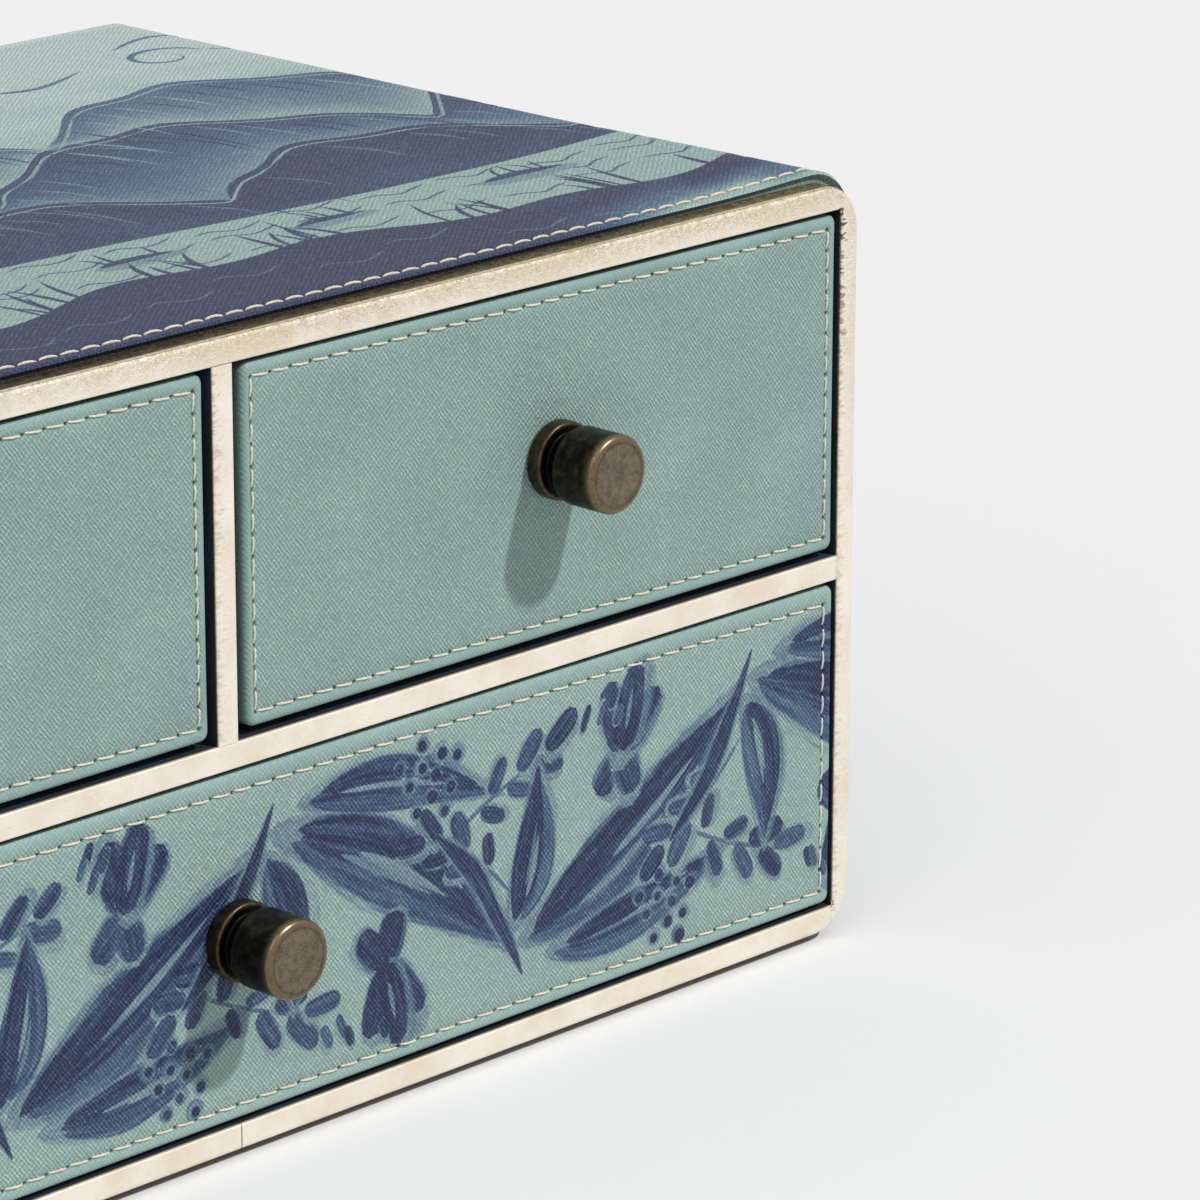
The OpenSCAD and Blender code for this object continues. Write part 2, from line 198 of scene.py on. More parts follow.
def stroke_over(add, ink, layer):
    """Lays one layer of brush strokes over the ink below it. A stroke of tone 0 wipes the ink away."""
    mark = add("Attribute", attribute_name=layer, out="Color")
    present = mark.node.outputs["Alpha"]
    along = add("SeparateColor", {"Color": mark})
    across, tone = along.node.outputs[1], along.node.outputs[2]
    side = add("Math", (across,), operation="ABSOLUTE")
    bristle_place = add("CombineXYZ", {"X": add("Math", (along, 0.07), operation="MULTIPLY"),
                                       "Y": add("Math", (across, 3.6), operation="MULTIPLY")})
    bristles = add("TexNoise", {"Vector": bristle_place, "Scale": 1.0, "Detail": 3.0})
    ragged = add("MapRange", {"Value": bristles}, span=(0.3, 0.7, 0.42, 0.72))
    gone = add("Math", (ragged, 0.3), operation="ADD")
    soft = add("MapRange", {"Value": side}, span=(ragged, gone, 1.0, 0.0))
    cover = add("Math", (soft, present), operation="MULTIPLY")
    rim = add("Math", (side, 3.0), operation="POWER")
    load = add("MapRange", {"Value": bristles}, span=(0.32, 0.68, 0.66, 1.16))
    load = add("Math", (rim, 0.15, load), operation="MULTIPLY_ADD")
    load = add("Math", (ink, 0.4, load), operation="MULTIPLY_ADD")
    laid = add("Math", (tone, load), operation="MULTIPLY", use_clamp=True)
    return add("Mix", {"Factor": cover, 2: ink, 3: laid}, data_type="FLOAT")


def teal_leatherette(name, printed=False, on_back=False):
    """Pressed, semi-matt hide. The grain's ridges catch the light, its valleys carry painted shade, and
    its flecks are rubbed pale and partly painted glints. The back's plain sheet lies flat and upright, so
    its own place does for a map."""
    material, add = blank_material(name, "#8fb0ab")
    if on_back:
        place = place_in_mm(add, Rotation=(-math.pi / 2, 0, 0))
    else:
        place = add("UVMap", uv_map="flat_hide")
    height, fleck_and_glint = cross_grain(add, place)
    if printed:
        ink = add("Attribute", attribute_name="wash", out="Fac")
        for layer in PRINT_LAYERS:
            ink = stroke_over(add, ink, layer)
        worn = add("MapRange", {"Value": height}, span=(0.0, 1.0, 1.04, 0.8))
        ink = add("Math", (ink, worn), operation="MULTIPLY", use_clamp=True)
        colour = add("ValToRGB", {"Fac": ink}, stops=INK_STOPS)
        bare = add("Math", (1.0, ink), operation="SUBTRACT")
        fleck_and_glint = add("Math", (fleck_and_glint, bare), operation="MULTIPLY")
    else:
        mottle = add("TexNoise", {"Vector": place, "Scale": 0.05, "Detail": 3.0})
        colour = add("ValToRGB", {"Fac": mottle}, stops=((0.3, "#7c9893"), (0.7, "#86a39d")))
    stretched = add("Attribute", attribute_name="stretched", out="Fac")
    standing = add("MapRange", {"Value": stretched}, span=(0.0, 1.0, 1.0, 0.34))
    paled = add("Math", (fleck_and_glint, 0.42), operation="MULTIPLY")
    paled = add("Math", (paled, standing), operation="MULTIPLY")
    colour = add("Mix", {"Factor": paled, 6: colour, 7: linear("#cfcdb8")}, **IN_COLOUR)
    # Painted shade: the grain's valleys are darker and its ridge tops lighter, less where the hide is
    # stretched smooth.
    shade = add("MapRange", {"Value": height}, span=(0.0, 1.0, 0.73, 1.15))
    shade = add("Mix", {"Factor": standing, 2: 0.97, 3: shade}, data_type="FLOAT")
    colour = add("Mix", {"Factor": 1.0, 6: colour, 7: shade}, blend_type="MULTIPLY", **IN_COLOUR)
    # Painted shade: dark in the needle holes, and on the cover also under the fold where it turns in
    # against the frame.
    painted_shade = add("Attribute", attribute_name="painted_shade", out="Fac")
    colour = add("Mix", {"Factor": painted_shade, 6: colour, 7: linear("#1f1b1a")}, **IN_COLOUR)
    rough = add("MapRange", {"Value": height}, span=(0.0, 1.0, 0.62, 0.44))
    rough = add("Math", (stretched, -0.14, rough), operation="MULTIPLY_ADD")
    bump = add("Bump", {"Height": height, "Strength": standing, "Distance": GRAIN_DEPTH * MM})
    add("OutputMaterial", {"Surface": add("BsdfPrincipled", {"Base Color": colour, "Roughness": rough,
                                                             "Normal": bump, "Specular IOR Level": 0.3})})
    return material


TEAL_HIDE = teal_leatherette("teal leatherette")
PRINTED_HIDE = teal_leatherette("printed leatherette", printed=True)
BACK_HIDE = teal_leatherette("back leatherette", on_back=True)
print("hides:", [made.name for made in (TEAL_HIDE, PRINTED_HIDE, BACK_HIDE)])

# %% [markdown]
# ## Champagne leatherette on the frame
#
# The board edges are wrapped in a thin leatherette with a metallic coat. It is not metal: the coat is a
# film of flakes over a soft crushed grain, so it is bright, warm and satin, with fine creases. A half
# metallic value with a pale gold colour keeps it cream in plain light and lets it glow where it turns.


# %% Frayed edges of the frame, with painted light and shade
FACE_OF_FRAME = band_low.y      # mm, the frame's front plane
TOP_OF_FRAME = band_high.z
RIGHT_OF_FRAME = band_high.x
FOOT_OF_FRAME = band_low.z
GAP_BESIDE, GAP_ABOVE = 0.7, 0.9    # mm from the upper right face to the stile and to the top rail
INSIDE_RIGHT = face_boxes["upper_right"][1].x + GAP_BESIDE
INSIDE_TOP = face_boxes["upper_right"][1].z + GAP_ABOVE
DIVIDER_LEFT = box_mm("divider_edge_band")[0].x
DIVIDER_FOOT = box_mm("shelf_edge_band")[1].z
FRAY_REACH = 11.0       # mm that the noise's whole range moves the frayed line


def frayed_edge_light_and_shade(add, place, x, z):
    """The left edges of the divider and of the right stile's face, as layers of (share, colour): fine pale
    fibres that are painted highlights on the wrinkles, a darker brown margin, and dark marks that are
    painted shadow of the wrinkles and partly the board where the coat is rubbed through."""
    slanting = add("Mapping", {"Vector": place, "Rotation": (0, math.radians(35), 0),
                               "Scale": (0.45, 0.3, 1.4)})
    frays = add("TexNoise", {"Vector": slanting, "Scale": 0.8, "Detail": 3.0})
    right = add("Math", (x, (INSIDE_RIGHT + DIVIDER_LEFT) / 2), operation="GREATER_THAN")
    inward = add("Math", (right, DIVIDER_LEFT - INSIDE_RIGHT, x), operation="MULTIPLY_ADD")
    inward = add("Math", (inward, DIVIDER_LEFT), operation="SUBTRACT")
    ragged = add("Math", (frays, FRAY_REACH, inward), operation="MULTIPLY_ADD")
    # pale painted highlights along the wrinkled edge
    painted_highlight_hairs = add("MapRange", {"Value": ragged}, span=(7.6, 6.4, 0.0, 0.8))
    darker_margin = add("MapRange", {"Value": ragged}, span=(4.6, 7.0, 0.42, 0.0))
    # dark marks: painted shadow of the wrinkled edge, and partly the board where the coat is rubbed
    # through
    rubbed = add("MapRange", {"Value": ragged}, span=(6.0, 5.1))
    harder = add("Math", (right, 0.86, 0.14), operation="MULTIPLY_ADD")
    high = add("MapRange", {"Value": z}, span=(TOP_OF_FRAME - 42, TOP_OF_FRAME - 8, 0.0, 0.9))
    for less in (harder, high):
        rubbed = add("Math", (rubbed, less), operation="MULTIPLY")
    inside = add("Math", (inward, -0.5), operation="GREATER_THAN")
    upright = add("Math", (z, DIVIDER_FOOT), operation="GREATER_THAN")
    upright = add("Math", (upright, right), operation="MAXIMUM")
    below = add("Math", (z, INSIDE_TOP), operation="LESS_THAN")
    for bound in (upright, below):
        inside = add("Math", (inside, bound), operation="MULTIPLY")
    return [(add("Math", (share, inside), operation="MULTIPLY"), colour)
            for share, colour in ((painted_highlight_hairs, "#f0e7d9"), (darker_margin, "#9a8566"), (rubbed, "#3a2c20"))]


print("frayed edges at x =", round(DIVIDER_LEFT, 1), "and", round(INSIDE_RIGHT, 1), "mm")

# %% [markdown]
# ## Where the wrap is shaded, folded and joined
#
# The top rail is painted darker and warmer, most towards the right, as painted shade where it bulges up
# and turns from the light. A strip high on the right stile's outer edge is also painted darker. The wrap
# folds over the top edge, and its two ends meet in the bottom rail. Each of these is a share from 0 to 1
# that follows from the place in millimetres, and the recipe lays their colours over the cream one by one.

# %% Champagne leatherette
WRAP_JOINT = 1.3        # mm right of the middle, where the wrap's two ends meet
FOLD_BACK = 0.42        # mm behind the face, where the wrap folds over the top edge


def fine_line(add, across, at, half_widths, share):
    """A thin line: whole within the first half width, and gone at the second."""
    away = add("Math", (across, at), operation="SUBTRACT")
    away = add("Math", (away,), operation="ABSOLUTE")
    return add("MapRange", {"Value": away}, span=(*half_widths, share, 0.0))


def darker_gold_share(add, creases, x, z):
    """How much the coat is painted darker and warmer: painted shade along the top rail, most towards the
    right, and a darker strip down the right stile's outer edge.
    """
    darker_gold = add("MapRange", {"Value": z}, span=(TOP_OF_FRAME - 5.0, TOP_OF_FRAME - 1.5, 0.0, 0.4))
    mottled = add("MapRange", {"Value": creases}, span=(0.4, 0.62, 0.35, 1.0))
    darker_gold = add("Math", (darker_gold, mottled), operation="MULTIPLY")
    rightward = add("MapRange", {"Value": x}, span=(-RIGHT_OF_FRAME, RIGHT_OF_FRAME, 0.8, 1.5))
    darker_gold = add("Math", (darker_gold, rightward), operation="MULTIPLY", use_clamp=True)
    down = add("MapRange", {"Value": z}, span=(TOP_OF_FRAME - 70, TOP_OF_FRAME - 12))
    stile = add("MapRange", {"Value": x}, span=(RIGHT_OF_FRAME - 7.0, RIGHT_OF_FRAME - 2.0, 0.0, 0.26))
    stile = add("Math", (stile, down), operation="MULTIPLY")
    return add("Math", (darker_gold, stile), operation="MAXIMUM")


def champagne_leatherette():
    """Flake-coated leatherette: cream on the face, warmer with painted shade on the top rail, painted
    shade on edges that face up and on the strip behind the face.
    """
    material, add = blank_material("champagne leatherette", "#e8dcc2")
    place = place_in_mm(add)
    x = add("SeparateXYZ", {"Vector": place})
    y, z = x.node.outputs[1], x.node.outputs[2]
    cloud = add("TexNoise", {"Vector": place, "Scale": 0.09, "Detail": 5.0, "Roughness": 0.6})
    flake = add("TexNoise", {"Vector": place, "Scale": 2.4, "Detail": 2.0})
    creases = add("TexNoise", {"Vector": place, "Scale": 0.7, "Detail": 5.0, "Distortion": 1.2,
                               "Roughness": 0.65})
    darker_gold = darker_gold_share(add, creases, x, z)
    facing = add("SeparateXYZ", {"Vector": add("TexCoord", out="Normal")})
    # Edges that face up are painted a darker olive: painted shade.
    upward_shade = add("MapRange", {"Value": facing.node.outputs[2]}, span=(0.3, 0.9, 0.0, 0.5))
    wobble = add("Math", (cloud, 0.2, y), operation="MULTIPLY_ADD")
    fold = fine_line(add, wobble, FACE_OF_FRAME + FOLD_BACK, (0.03, 0.1), 0.7)
    on_top = add("Math", (z, TOP_OF_FRAME - 2.0), operation="GREATER_THAN")
    fold = add("Math", (fold, on_top), operation="MULTIPLY")
    joint = fine_line(add, x, WRAP_JOINT, (0.07, 0.2), 0.85)
    low = add("Math", (z, FOOT_OF_FRAME + 8.0), operation="LESS_THAN")
    joint = add("Math", (joint, low), operation="MULTIPLY")
    colour = add("ValToRGB", {"Fac": cloud}, stops=((0.35, "#dfd3bf"), (0.6, "#e9e1d4")))
    # The top rail's warmer colour is painted shade, and the frayed edges bring painted highlights and
    # shadow.
    for share, worn_colour in ((darker_gold, "#bdac80"), *frayed_edge_light_and_shade(add, place, x, z),
                               (upward_shade, "#958a5d"), (fold, "#6d5238"), (joint, "#4a4034")):
        colour = add("Mix", {"Factor": share, 6: colour, 7: linear(worn_colour)}, **IN_COLOUR)
    # The strip of wrap behind the face, in the gap under the cover, is painted dark olive as painted
    # shade, darker still towards the left.
    sideways = add("Math", (facing,), operation="ABSOLUTE")
    sooner = add("Math", (sideways, 0.6, y), operation="MULTIPLY_ADD")
    behind = add("MapRange", {"Value": sooner}, span=(FACE_OF_FRAME + 0.7, FACE_OF_FRAME + 1.1))
    shaded_strip_colour = add("ValToRGB", {"Fac": creases}, stops=((0.4, "#443c28"), (0.62, "#857a58")))
    lit = add("MapRange", {"Value": x}, span=(-0.2 * RIGHT_OF_FRAME, 0.6 * RIGHT_OF_FRAME, 0.45, 1.0))
    shaded_strip_colour = add("Mix", {"Factor": 1.0, 6: shaded_strip_colour, 7: lit}, blend_type="MULTIPLY",
                        **IN_COLOUR)
    colour = add("Mix", {"Factor": behind, 6: colour, 7: shaded_strip_colour}, **IN_COLOUR)
    rough = add("MapRange", {"Value": flake}, span=(0.3, 0.7, 0.34, 0.48))
    fine = add("Math", (creases, 1.6, flake), operation="MULTIPLY_ADD")
    crumple = add("TexNoise", {"Vector": place, "Scale": 1.1, "Detail": 3.0, "Distortion": 2.0})
    crumple = add("Math", (crumple, 0.5), operation="SUBTRACT")
    crumple = add("Math", (crumple,), operation="ABSOLUTE")
    crumple = add("Math", (crumple, darker_gold), operation="MULTIPLY")
    fine = add("Math", (crumple, 20.0, fine), operation="MULTIPLY_ADD")
    bump = add("Bump", {"Height": fine, "Strength": 0.7, "Distance": 0.1 * MM})
    add("OutputMaterial", {"Surface": add("BsdfPrincipled", {
        "Base Color": colour, "Metallic": 0.4, "Roughness": rough, "Normal": bump})})
    return material


CHAMPAGNE = champagne_leatherette()
print("frame finish:", CHAMPAGNE.name)

# %% [markdown]
# ## Waxed thread
#
# The seams are sewn in a thick cream polyester thread of two twisted plies. Wax makes it lie close and
# shine a little, so it is lighter and smoother than cotton. Its fibres are too fine to show, so they are
# drawn about five times as coarse.


# %% Waxed thread
def waxed_thread():
    """Twisted cream thread with a soft waxy light."""
    material, add = blank_material("waxed thread", "#e6dfce")
    place = place_in_mm(add)
    fibre = add("TexNoise", {"Vector": place, "Scale": 5.0, "Detail": 2.0})
    colour = add("ValToRGB", {"Fac": fibre}, stops=((0.35, "#b7ae99"), (0.65, "#dcd5c4")))
    bump = add("Bump", {"Height": fibre, "Strength": 0.4, "Distance": 0.04 * MM})
    add("OutputMaterial", {"Surface": add("BsdfPrincipled", {"Base Color": colour, "Roughness": 0.55,
                                                             "Normal": bump})})
    return material


THREAD = waxed_thread()
print("thread finish:", THREAD.name)

# %% [markdown]
# ## Aged brass
#
# The knobs are turned brass, dipped in a dark wash and rubbed back. The wash stays in the groove and in
# the fine rings that the lathe left, and the rims are worn down to warm metal. The knob's mesh says how
# exposed each point is, so the wear follows its real edges.


# %% Aged brass
def aged_brass():
    """Dark-washed turned brass: nearly black in the groove, brown on the faces, bare at the rims."""
    material, add = blank_material("aged brass", "#5a5042")
    place = place_in_mm(add)
    turned = add("UVMap", uv_map="turned")
    wear = add("Attribute", attribute_name="rubbed", out="Fac")
    stain = add("TexNoise", {"Vector": place, "Scale": 0.45, "Detail": 5.0, "Roughness": 0.62})
    rings = add("Mapping", {"Vector": turned, "Scale": (0.25, 7.0, 1.0)})
    streaks = add("TexNoise", {"Vector": rings, "Scale": 1.0, "Detail": 3.0})
    scuffs = add("TexNoise", {"Vector": place, "Scale": 2.3, "Detail": 4.0, "Distortion": 1.5})
    patina = add("Math", (streaks, 0.45, stain), operation="MULTIPLY_ADD")
    patina = add("Math", (wear, 0.3, patina), operation="MULTIPLY_ADD")
    colour = add("ValToRGB", {"Fac": patina},
                 stops=((0.5, "#0c0b08"), (0.72, "#201b14"), (0.92, "#443b2c")))
    flat_end = add("Attribute", attribute_name="flat_end", out="Fac")
    dulled = add("Math", (stain, 0.5, add("Math", (scuffs, 0.5), operation="MULTIPLY")),
                 operation="MULTIPLY_ADD")
    dulled = add("ValToRGB", {"Fac": dulled}, stops=((0.38, "#585044"), (0.62, "#827666")))
    colour = add("Mix", {"Factor": flat_end, 6: colour, 7: dulled}, **IN_COLOUR)
    bare = add("Math", (scuffs, 0.9, -0.42), operation="MULTIPLY_ADD")
    bare = add("Math", (wear, bare), operation="ADD")
    bare = add("MapRange", {"Value": bare}, span=(0.45, 0.95))
    bare = add("Math", (bare, wear), operation="MULTIPLY")
    colour = add("Mix", {"Factor": bare, 6: colour, 7: linear("#86745a")}, **IN_COLOUR)
    rough = add("MapRange", {"Value": bare}, span=(0.0, 1.0, 0.42, 0.24))
    bump = add("Bump", {"Height": streaks, "Strength": 0.3, "Distance": 0.03 * MM})
    add("OutputMaterial", {"Surface": add("BsdfPrincipled", {"Base Color": colour, "Metallic": 0.92,
                                                             "Roughness": rough, "Normal": bump})})
    return material


BRASS = aged_brass()
print("knob finish:", BRASS.name)

# %% [markdown]
# ## Velvet, paper, board, felt and zinc
#
# The cells and trays are lined with navy velvet, whose pile glows where it is seen along its surface. A
# sheen layer does that. The tray walls are board under navy paper, the case is raw fibreboard under its
# cover, the foot is brown felt, and the screws are zinc plated.


# %% Velvet, paper, board, felt and zinc
def navy_velvet():
    """Short-pile velvet: almost black face on, blue at a slant."""
    material, add = blank_material("navy velvet", "#12304a")
    place = place_in_mm(add)
    pile = add("TexNoise", {"Vector": place, "Scale": 3.0, "Detail": 2.0})
    brushed = add("TexNoise", {"Vector": place, "Scale": 0.08, "Detail": 3.0})
    tone = add("Math", (pile, 0.5, brushed), operation="MULTIPLY_ADD")
    colour = add("ValToRGB", {"Fac": tone}, stops=((0.5, "#02060b"), (0.8, "#041422"), (1.0, "#0a2c44")))
    bump = add("Bump", {"Height": pile, "Strength": 0.5, "Distance": 0.1 * MM})
    add("OutputMaterial", {"Surface": add("BsdfPrincipled", {"Base Color": colour, "Roughness": 0.95,
                                                             "Normal": bump, "Sheen Weight": 0.04,
                                                             "Sheen Roughness": 0.4,
                                                             "Sheen Tint": linear("#2f6c9c")})})
    return material


def fibre_sheet(name, dark, pale, scale, rough, depth):
    """Matt pressed stock: paper, board or felt, told apart by colour, fibre size and depth."""
    material, add = blank_material(name, pale)
    place = place_in_mm(add)
    fibre = add("TexNoise", {"Vector": place, "Scale": scale, "Detail": 4.0, "Roughness": 0.65})
    colour = add("ValToRGB", {"Fac": fibre}, stops=((0.35, dark), (0.65, pale)))
    bump = add("Bump", {"Height": fibre, "Strength": 0.5, "Distance": depth * MM})
    add("OutputMaterial", {"Surface": add("BsdfPrincipled", {"Base Color": colour, "Roughness": rough,
                                                             "Normal": bump})})
    return material


def zinc_plate():
    """Bright grey plating with a faint spangle."""
    material, add = blank_material("zinc plate", "#a9a9a4")
    place = place_in_mm(add)
    spangle = add("TexNoise", {"Vector": place, "Scale": 1.2, "Detail": 2.0})
    colour = add("ValToRGB", {"Fac": spangle}, stops=((0.4, "#8f9090"), (0.6, "#b9b9b2")))
    rough = add("MapRange", {"Value": spangle}, span=(0.0, 1.0, 0.25, 0.45))
    add("OutputMaterial", {"Surface": add("BsdfPrincipled", {"Base Color": colour, "Metallic": 1.0,
                                                             "Roughness": rough})})
    return material


VELVET = navy_velvet()
NAVY_PAPER = fibre_sheet("navy paper", "#17222f", "#212f40", 1.4, 0.7, 0.04)
FIBREBOARD = fibre_sheet("fibreboard", "#6f665a", "#9a9081", 0.9, 0.85, 0.08)
BROWN_FELT = fibre_sheet("brown felt", "#3d3027", "#6b5a49", 1.8, 0.95, 0.2)
ZINC = zinc_plate()
print("quiet finishes:", [made.name for made in (VELVET, NAVY_PAPER, FIBREBOARD, BROWN_FELT, ZINC)])

# %% [markdown]
# ## Dress the CAD pieces that stay
#
# The boards, linings, trays, screws and the wrapped frame have their right shape already. They only need
# a finish. A small bevel breaks the paper-covered edges, because none of those is perfectly sharp.

# %% Give the kept pieces their finish
KEPT_FINISH = {
    "edge_band": CHAMPAGNE, "_board": FIBREBOARD, "lining": VELVET, "base_pad": BROWN_FELT,
    "_wall": NAVY_PAPER, "tray_floor": NAVY_PAPER, "_screw": ZINC, "back_cover": BACK_HIDE,
}
BROKEN_EDGE = {"_wall": 0.5, "base_pad": 0.3}   # mm


def dress_kept_pieces():
    """Gives every kept CAD node its finish, and counts them."""
    dressed = 0
    for name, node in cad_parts.items():
        for part, material in KEPT_FINISH.items():
            if part in name:
                node.data.materials.clear()
                node.data.materials.append(material)
                dressed += 1
        for part, width in BROKEN_EDGE.items():
            if part in name:
                bevel = node.modifiers.new("broken edge", "BEVEL")
                bevel.width = width * MM
                bevel.segments = 3
                bevel.limit_method = "ANGLE"
    return dressed


def show(name, mesh, material, body, slot, *stands_for):
    """Puts a finished mesh on the case: its finish, the body that carries it, the node it stands for."""
    piece = bpy.data.objects.new(name, mesh)
    scene.collection.objects.link(piece)
    mesh.materials.append(material)
    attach(piece, body)
    if stands_for:
        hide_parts(*stands_for)
    return piece


print("kept pieces dressed:", dress_kept_pieces())

# %% [markdown]
# ## Brush strokes as geometry
#
# A stroke is a strip of triangles along a smooth line, wider in the middle. Each corner knows its place
# along the stroke, in millimetres, and across it, from -1 to 1. A dab is a small round stroke. Nothing
# is painted yet: these are only lists of marks, which the hide's mesh takes in below.


# %% Strokes and dabs
STROKES_APART = 61.7    # mm from one stroke to the next in the bristles' pattern, so that no two are alike


def clamped(value):
    """The value, kept between 0 and 1."""
    return min(1.0, max(0.0, value))


def heading(angle):
    """The flat direction at an angle in radians."""
    return Vector((math.cos(angle), math.sin(angle)))


def left_of(direction):
    """The flat direction a quarter turn to the left."""
    return Vector((-direction.y, direction.x))


def smooth_line(knots, steps):
    """Points along a smooth line through the knots."""
    ends = [Vector(knots[0]), *[Vector(k) for k in knots], Vector(knots[-1])]
    line = []
    for a, b, c, d in zip(ends, ends[1:], ends[2:], ends[3:]):
        for k in range(steps):
            t = k / steps
            line.append(0.5 * (2 * b + (c - a) * t + (2 * a - 5 * b + 4 * c - d) * t ** 2
                               + (3 * b - a - 3 * c + d) * t ** 3))
    return line + [ends[-1]]


def leaf_swell(t):
    """A loaded brush: lands thin, swells, and lifts off to a point."""
    return 0.06 + 0.94 * math.sin(math.pi * t ** 0.8) ** 0.85 if 0 < t < 1 else 0.06


def blunt_swell(t):
    """A wet brush pressed down: as round at its end as at its start."""
    return 0.12 + 0.88 * math.sqrt(max(0.0, 1 - abs(2 * t - 1) ** 3))


def line_swell(t):
    """A fine line, even but for its two tips."""
    return 0.25 + 0.75 * min(1.0, 8 * t, 8 * (1 - t))


def stroke(marks, knots, width, tone, swell=leaf_swell, steps=8):
    """Adds one brush stroke to the marks: its width in millimetres at the swell, its tone from 0 to 1."""
    line = smooth_line(knots, steps)
    reach = [0.0]
    for a, b in zip(line, line[1:]):
        reach.append(reach[-1] + (b - a).length)
    start = STROKES_APART * len(marks)
    sides = []
    for i, point in enumerate(line):
        ahead = (line[min(i + 1, len(line) - 1)] - line[max(i - 1, 0)]).normalized()
        out = left_of(ahead) * width / 2 * swell(reach[i] / reach[-1])
        sides.append((point + out, point - out, start + reach[i]))
    strip = []
    for (a, b, u), (c, d, v) in zip(sides, sides[1:]):
        strip.append(((a, b, c), ((u, 1.0), (u, -1.0), (v, 1.0))))
        strip.append(((b, d, c), ((u, -1.0), (v, -1.0), (v, 1.0))))
    marks.append((tone, strip))


def dab(marks, centre, radius, tone, sides=12):
    """Adds one round touch of the brush."""
    start = STROKES_APART * len(marks)
    rim = []
    for k in range(sides):
        a = 2 * math.pi * k / sides
        rim.append(centre + Vector((math.cos(a) * radius, math.sin(a) * radius)))
    fan = []
    for k in range(sides):
        fan.append(((centre, rim[k], rim[(k + 1) % sides]),
                    ((start, 0.0), (start + k, 1.0), (start + k + 1, 1.0))))
    marks.append((tone, fan))


print("a leaf stroke is widest", max((leaf_swell(t / 20), t / 20) for t in range(21))[1], "of its way")

# %% [markdown]
# ## A hide's mesh
#
# The hide is cut flat, marked, and then bent over the piece. So is its mesh: a flat drawing is filled
# with triangles that follow the outline, the needle holes and every stroke, and a placing function then
# lifts each flat point to where it lies on the object. Blender's constrained Delaunay fill does the
# cutting, and says which stroke each triangle came from.


# %% Cut a flat drawing into triangles
def middle_of(points):
    """The middle of some flat points."""
    return sum(points, Vector((0, 0))) / len(points)


def between(corners, values, point):
    """A triangle's corner values carried to a point in it."""
    (ax, ay), (bx, by), (cx, cy) = corners
    area = (bx - ax) * (cy - ay) - (cx - ax) * (by - ay)
    wb = ((point[0] - ax) * (cy - ay) - (cx - ax) * (point[1] - ay)) / area
    wc = ((bx - ax) * (point[1] - ay) - (point[0] - ax) * (by - ay)) / area
    return [(1 - wb - wc) * p + wb * q + wc * r for p, q, r in zip(*values)]


def cut_hide(name, lines, points, marks, inside, place, fields, wash=None):
    """Fills a flat drawing and bends it. Lines are (points, closed), marks are strokes and fields are
    named values to keep at each point. Every corner keeps its flat place, the three top strokes and the
    wash, which is read a little way into its triangle so that an outline stays crisp."""
    flat, edges, faces, owners = [], [], [], []
    for line, closed in lines:
        first = len(flat)
        flat += [Vector(p) for p in line]
        edges += [(first + k, first + (k + 1) % len(line)) for k in range(len(line) - (not closed))]
    flat += [Vector(p) for p in points]
    for order, (tone, triangles) in enumerate(marks):
        for (a, b, c), values in triangles:
            twice = (b.x - a.x) * (c.y - a.y) - (c.x - a.x) * (b.y - a.y)
            if abs(twice) < 1e-4 or not any(inside(p.x, p.y) for p in (a, b, c)):
                continue
            if twice < 0:
                b, c, values = c, b, (values[0], values[2], values[1])
            faces.append((len(flat), len(flat) + 1, len(flat) + 2))
            flat += [a, b, c]
            owners.append((order, tone, (a, b, c), values))
    cut = delaunay_2d_cdt(flat, edges, faces, 0, 1e-5, True)
    flat, kept, strokes = cut[0], [], []
    for triangle, source in zip(cut[2], cut[5]):
        if inside(*middle_of([flat[i] for i in triangle])):
            kept.append(tuple(triangle))
            strokes.append(sorted((owners[f] for f in source), key=lambda owner: owner[0])[-3:])
    used = sorted({i for triangle in kept for i in triangle})
    new = {old: k for k, old in enumerate(used)}
    mesh = bpy.data.meshes.new(name)
    mesh.from_pydata([place(*flat[i]) for i in used], [], [[new[i] for i in t] for t in kept])
    mesh.uv_layers.new(name="flat_hide").data.foreach_set(
        "uv", [v for t in kept for i in t for v in flat[i]])
    for layer, layer_name in enumerate(PRINT_LAYERS if marks else ()):
        data = []
        for triangle, owned in zip(kept, strokes):
            if len(owned) < 3 - layer:
                data += (0.0,) * 12
                continue
            order, tone, corners, values = owned[len(owned) - 3 + layer]
            for i in triangle:
                data += (*between(corners, values, flat[i]), tone, 1.0)
        mesh.attributes.new(layer_name, "FLOAT_COLOR", "CORNER").data.foreach_set("color", data)
    for field, value_at in fields.items():
        mesh.attributes.new(field, "FLOAT", "POINT").data.foreach_set(
            "value", [value_at(*flat[i]) for i in used])
    if wash:
        data = []
        for triangle in kept:
            middle = middle_of([flat[i] for i in triangle])
            data += [wash(*flat[i].lerp(middle, 0.1)) for i in triangle]
        mesh.attributes.new("wash", "FLOAT", "CORNER").data.foreach_set("value", data)
    return mesh


print("flat drawings are cut in millimetres")

# %% [markdown]
# ## Sewing
#
# A lockstitch pulls the thread down through the hide at every needle hole and lays it over the top
# between two holes. The hide sinks a little along the whole seam and dents at each hole. Each stitch
# here is its own short length of two-ply thread that rises out of one hole and dives into the next.

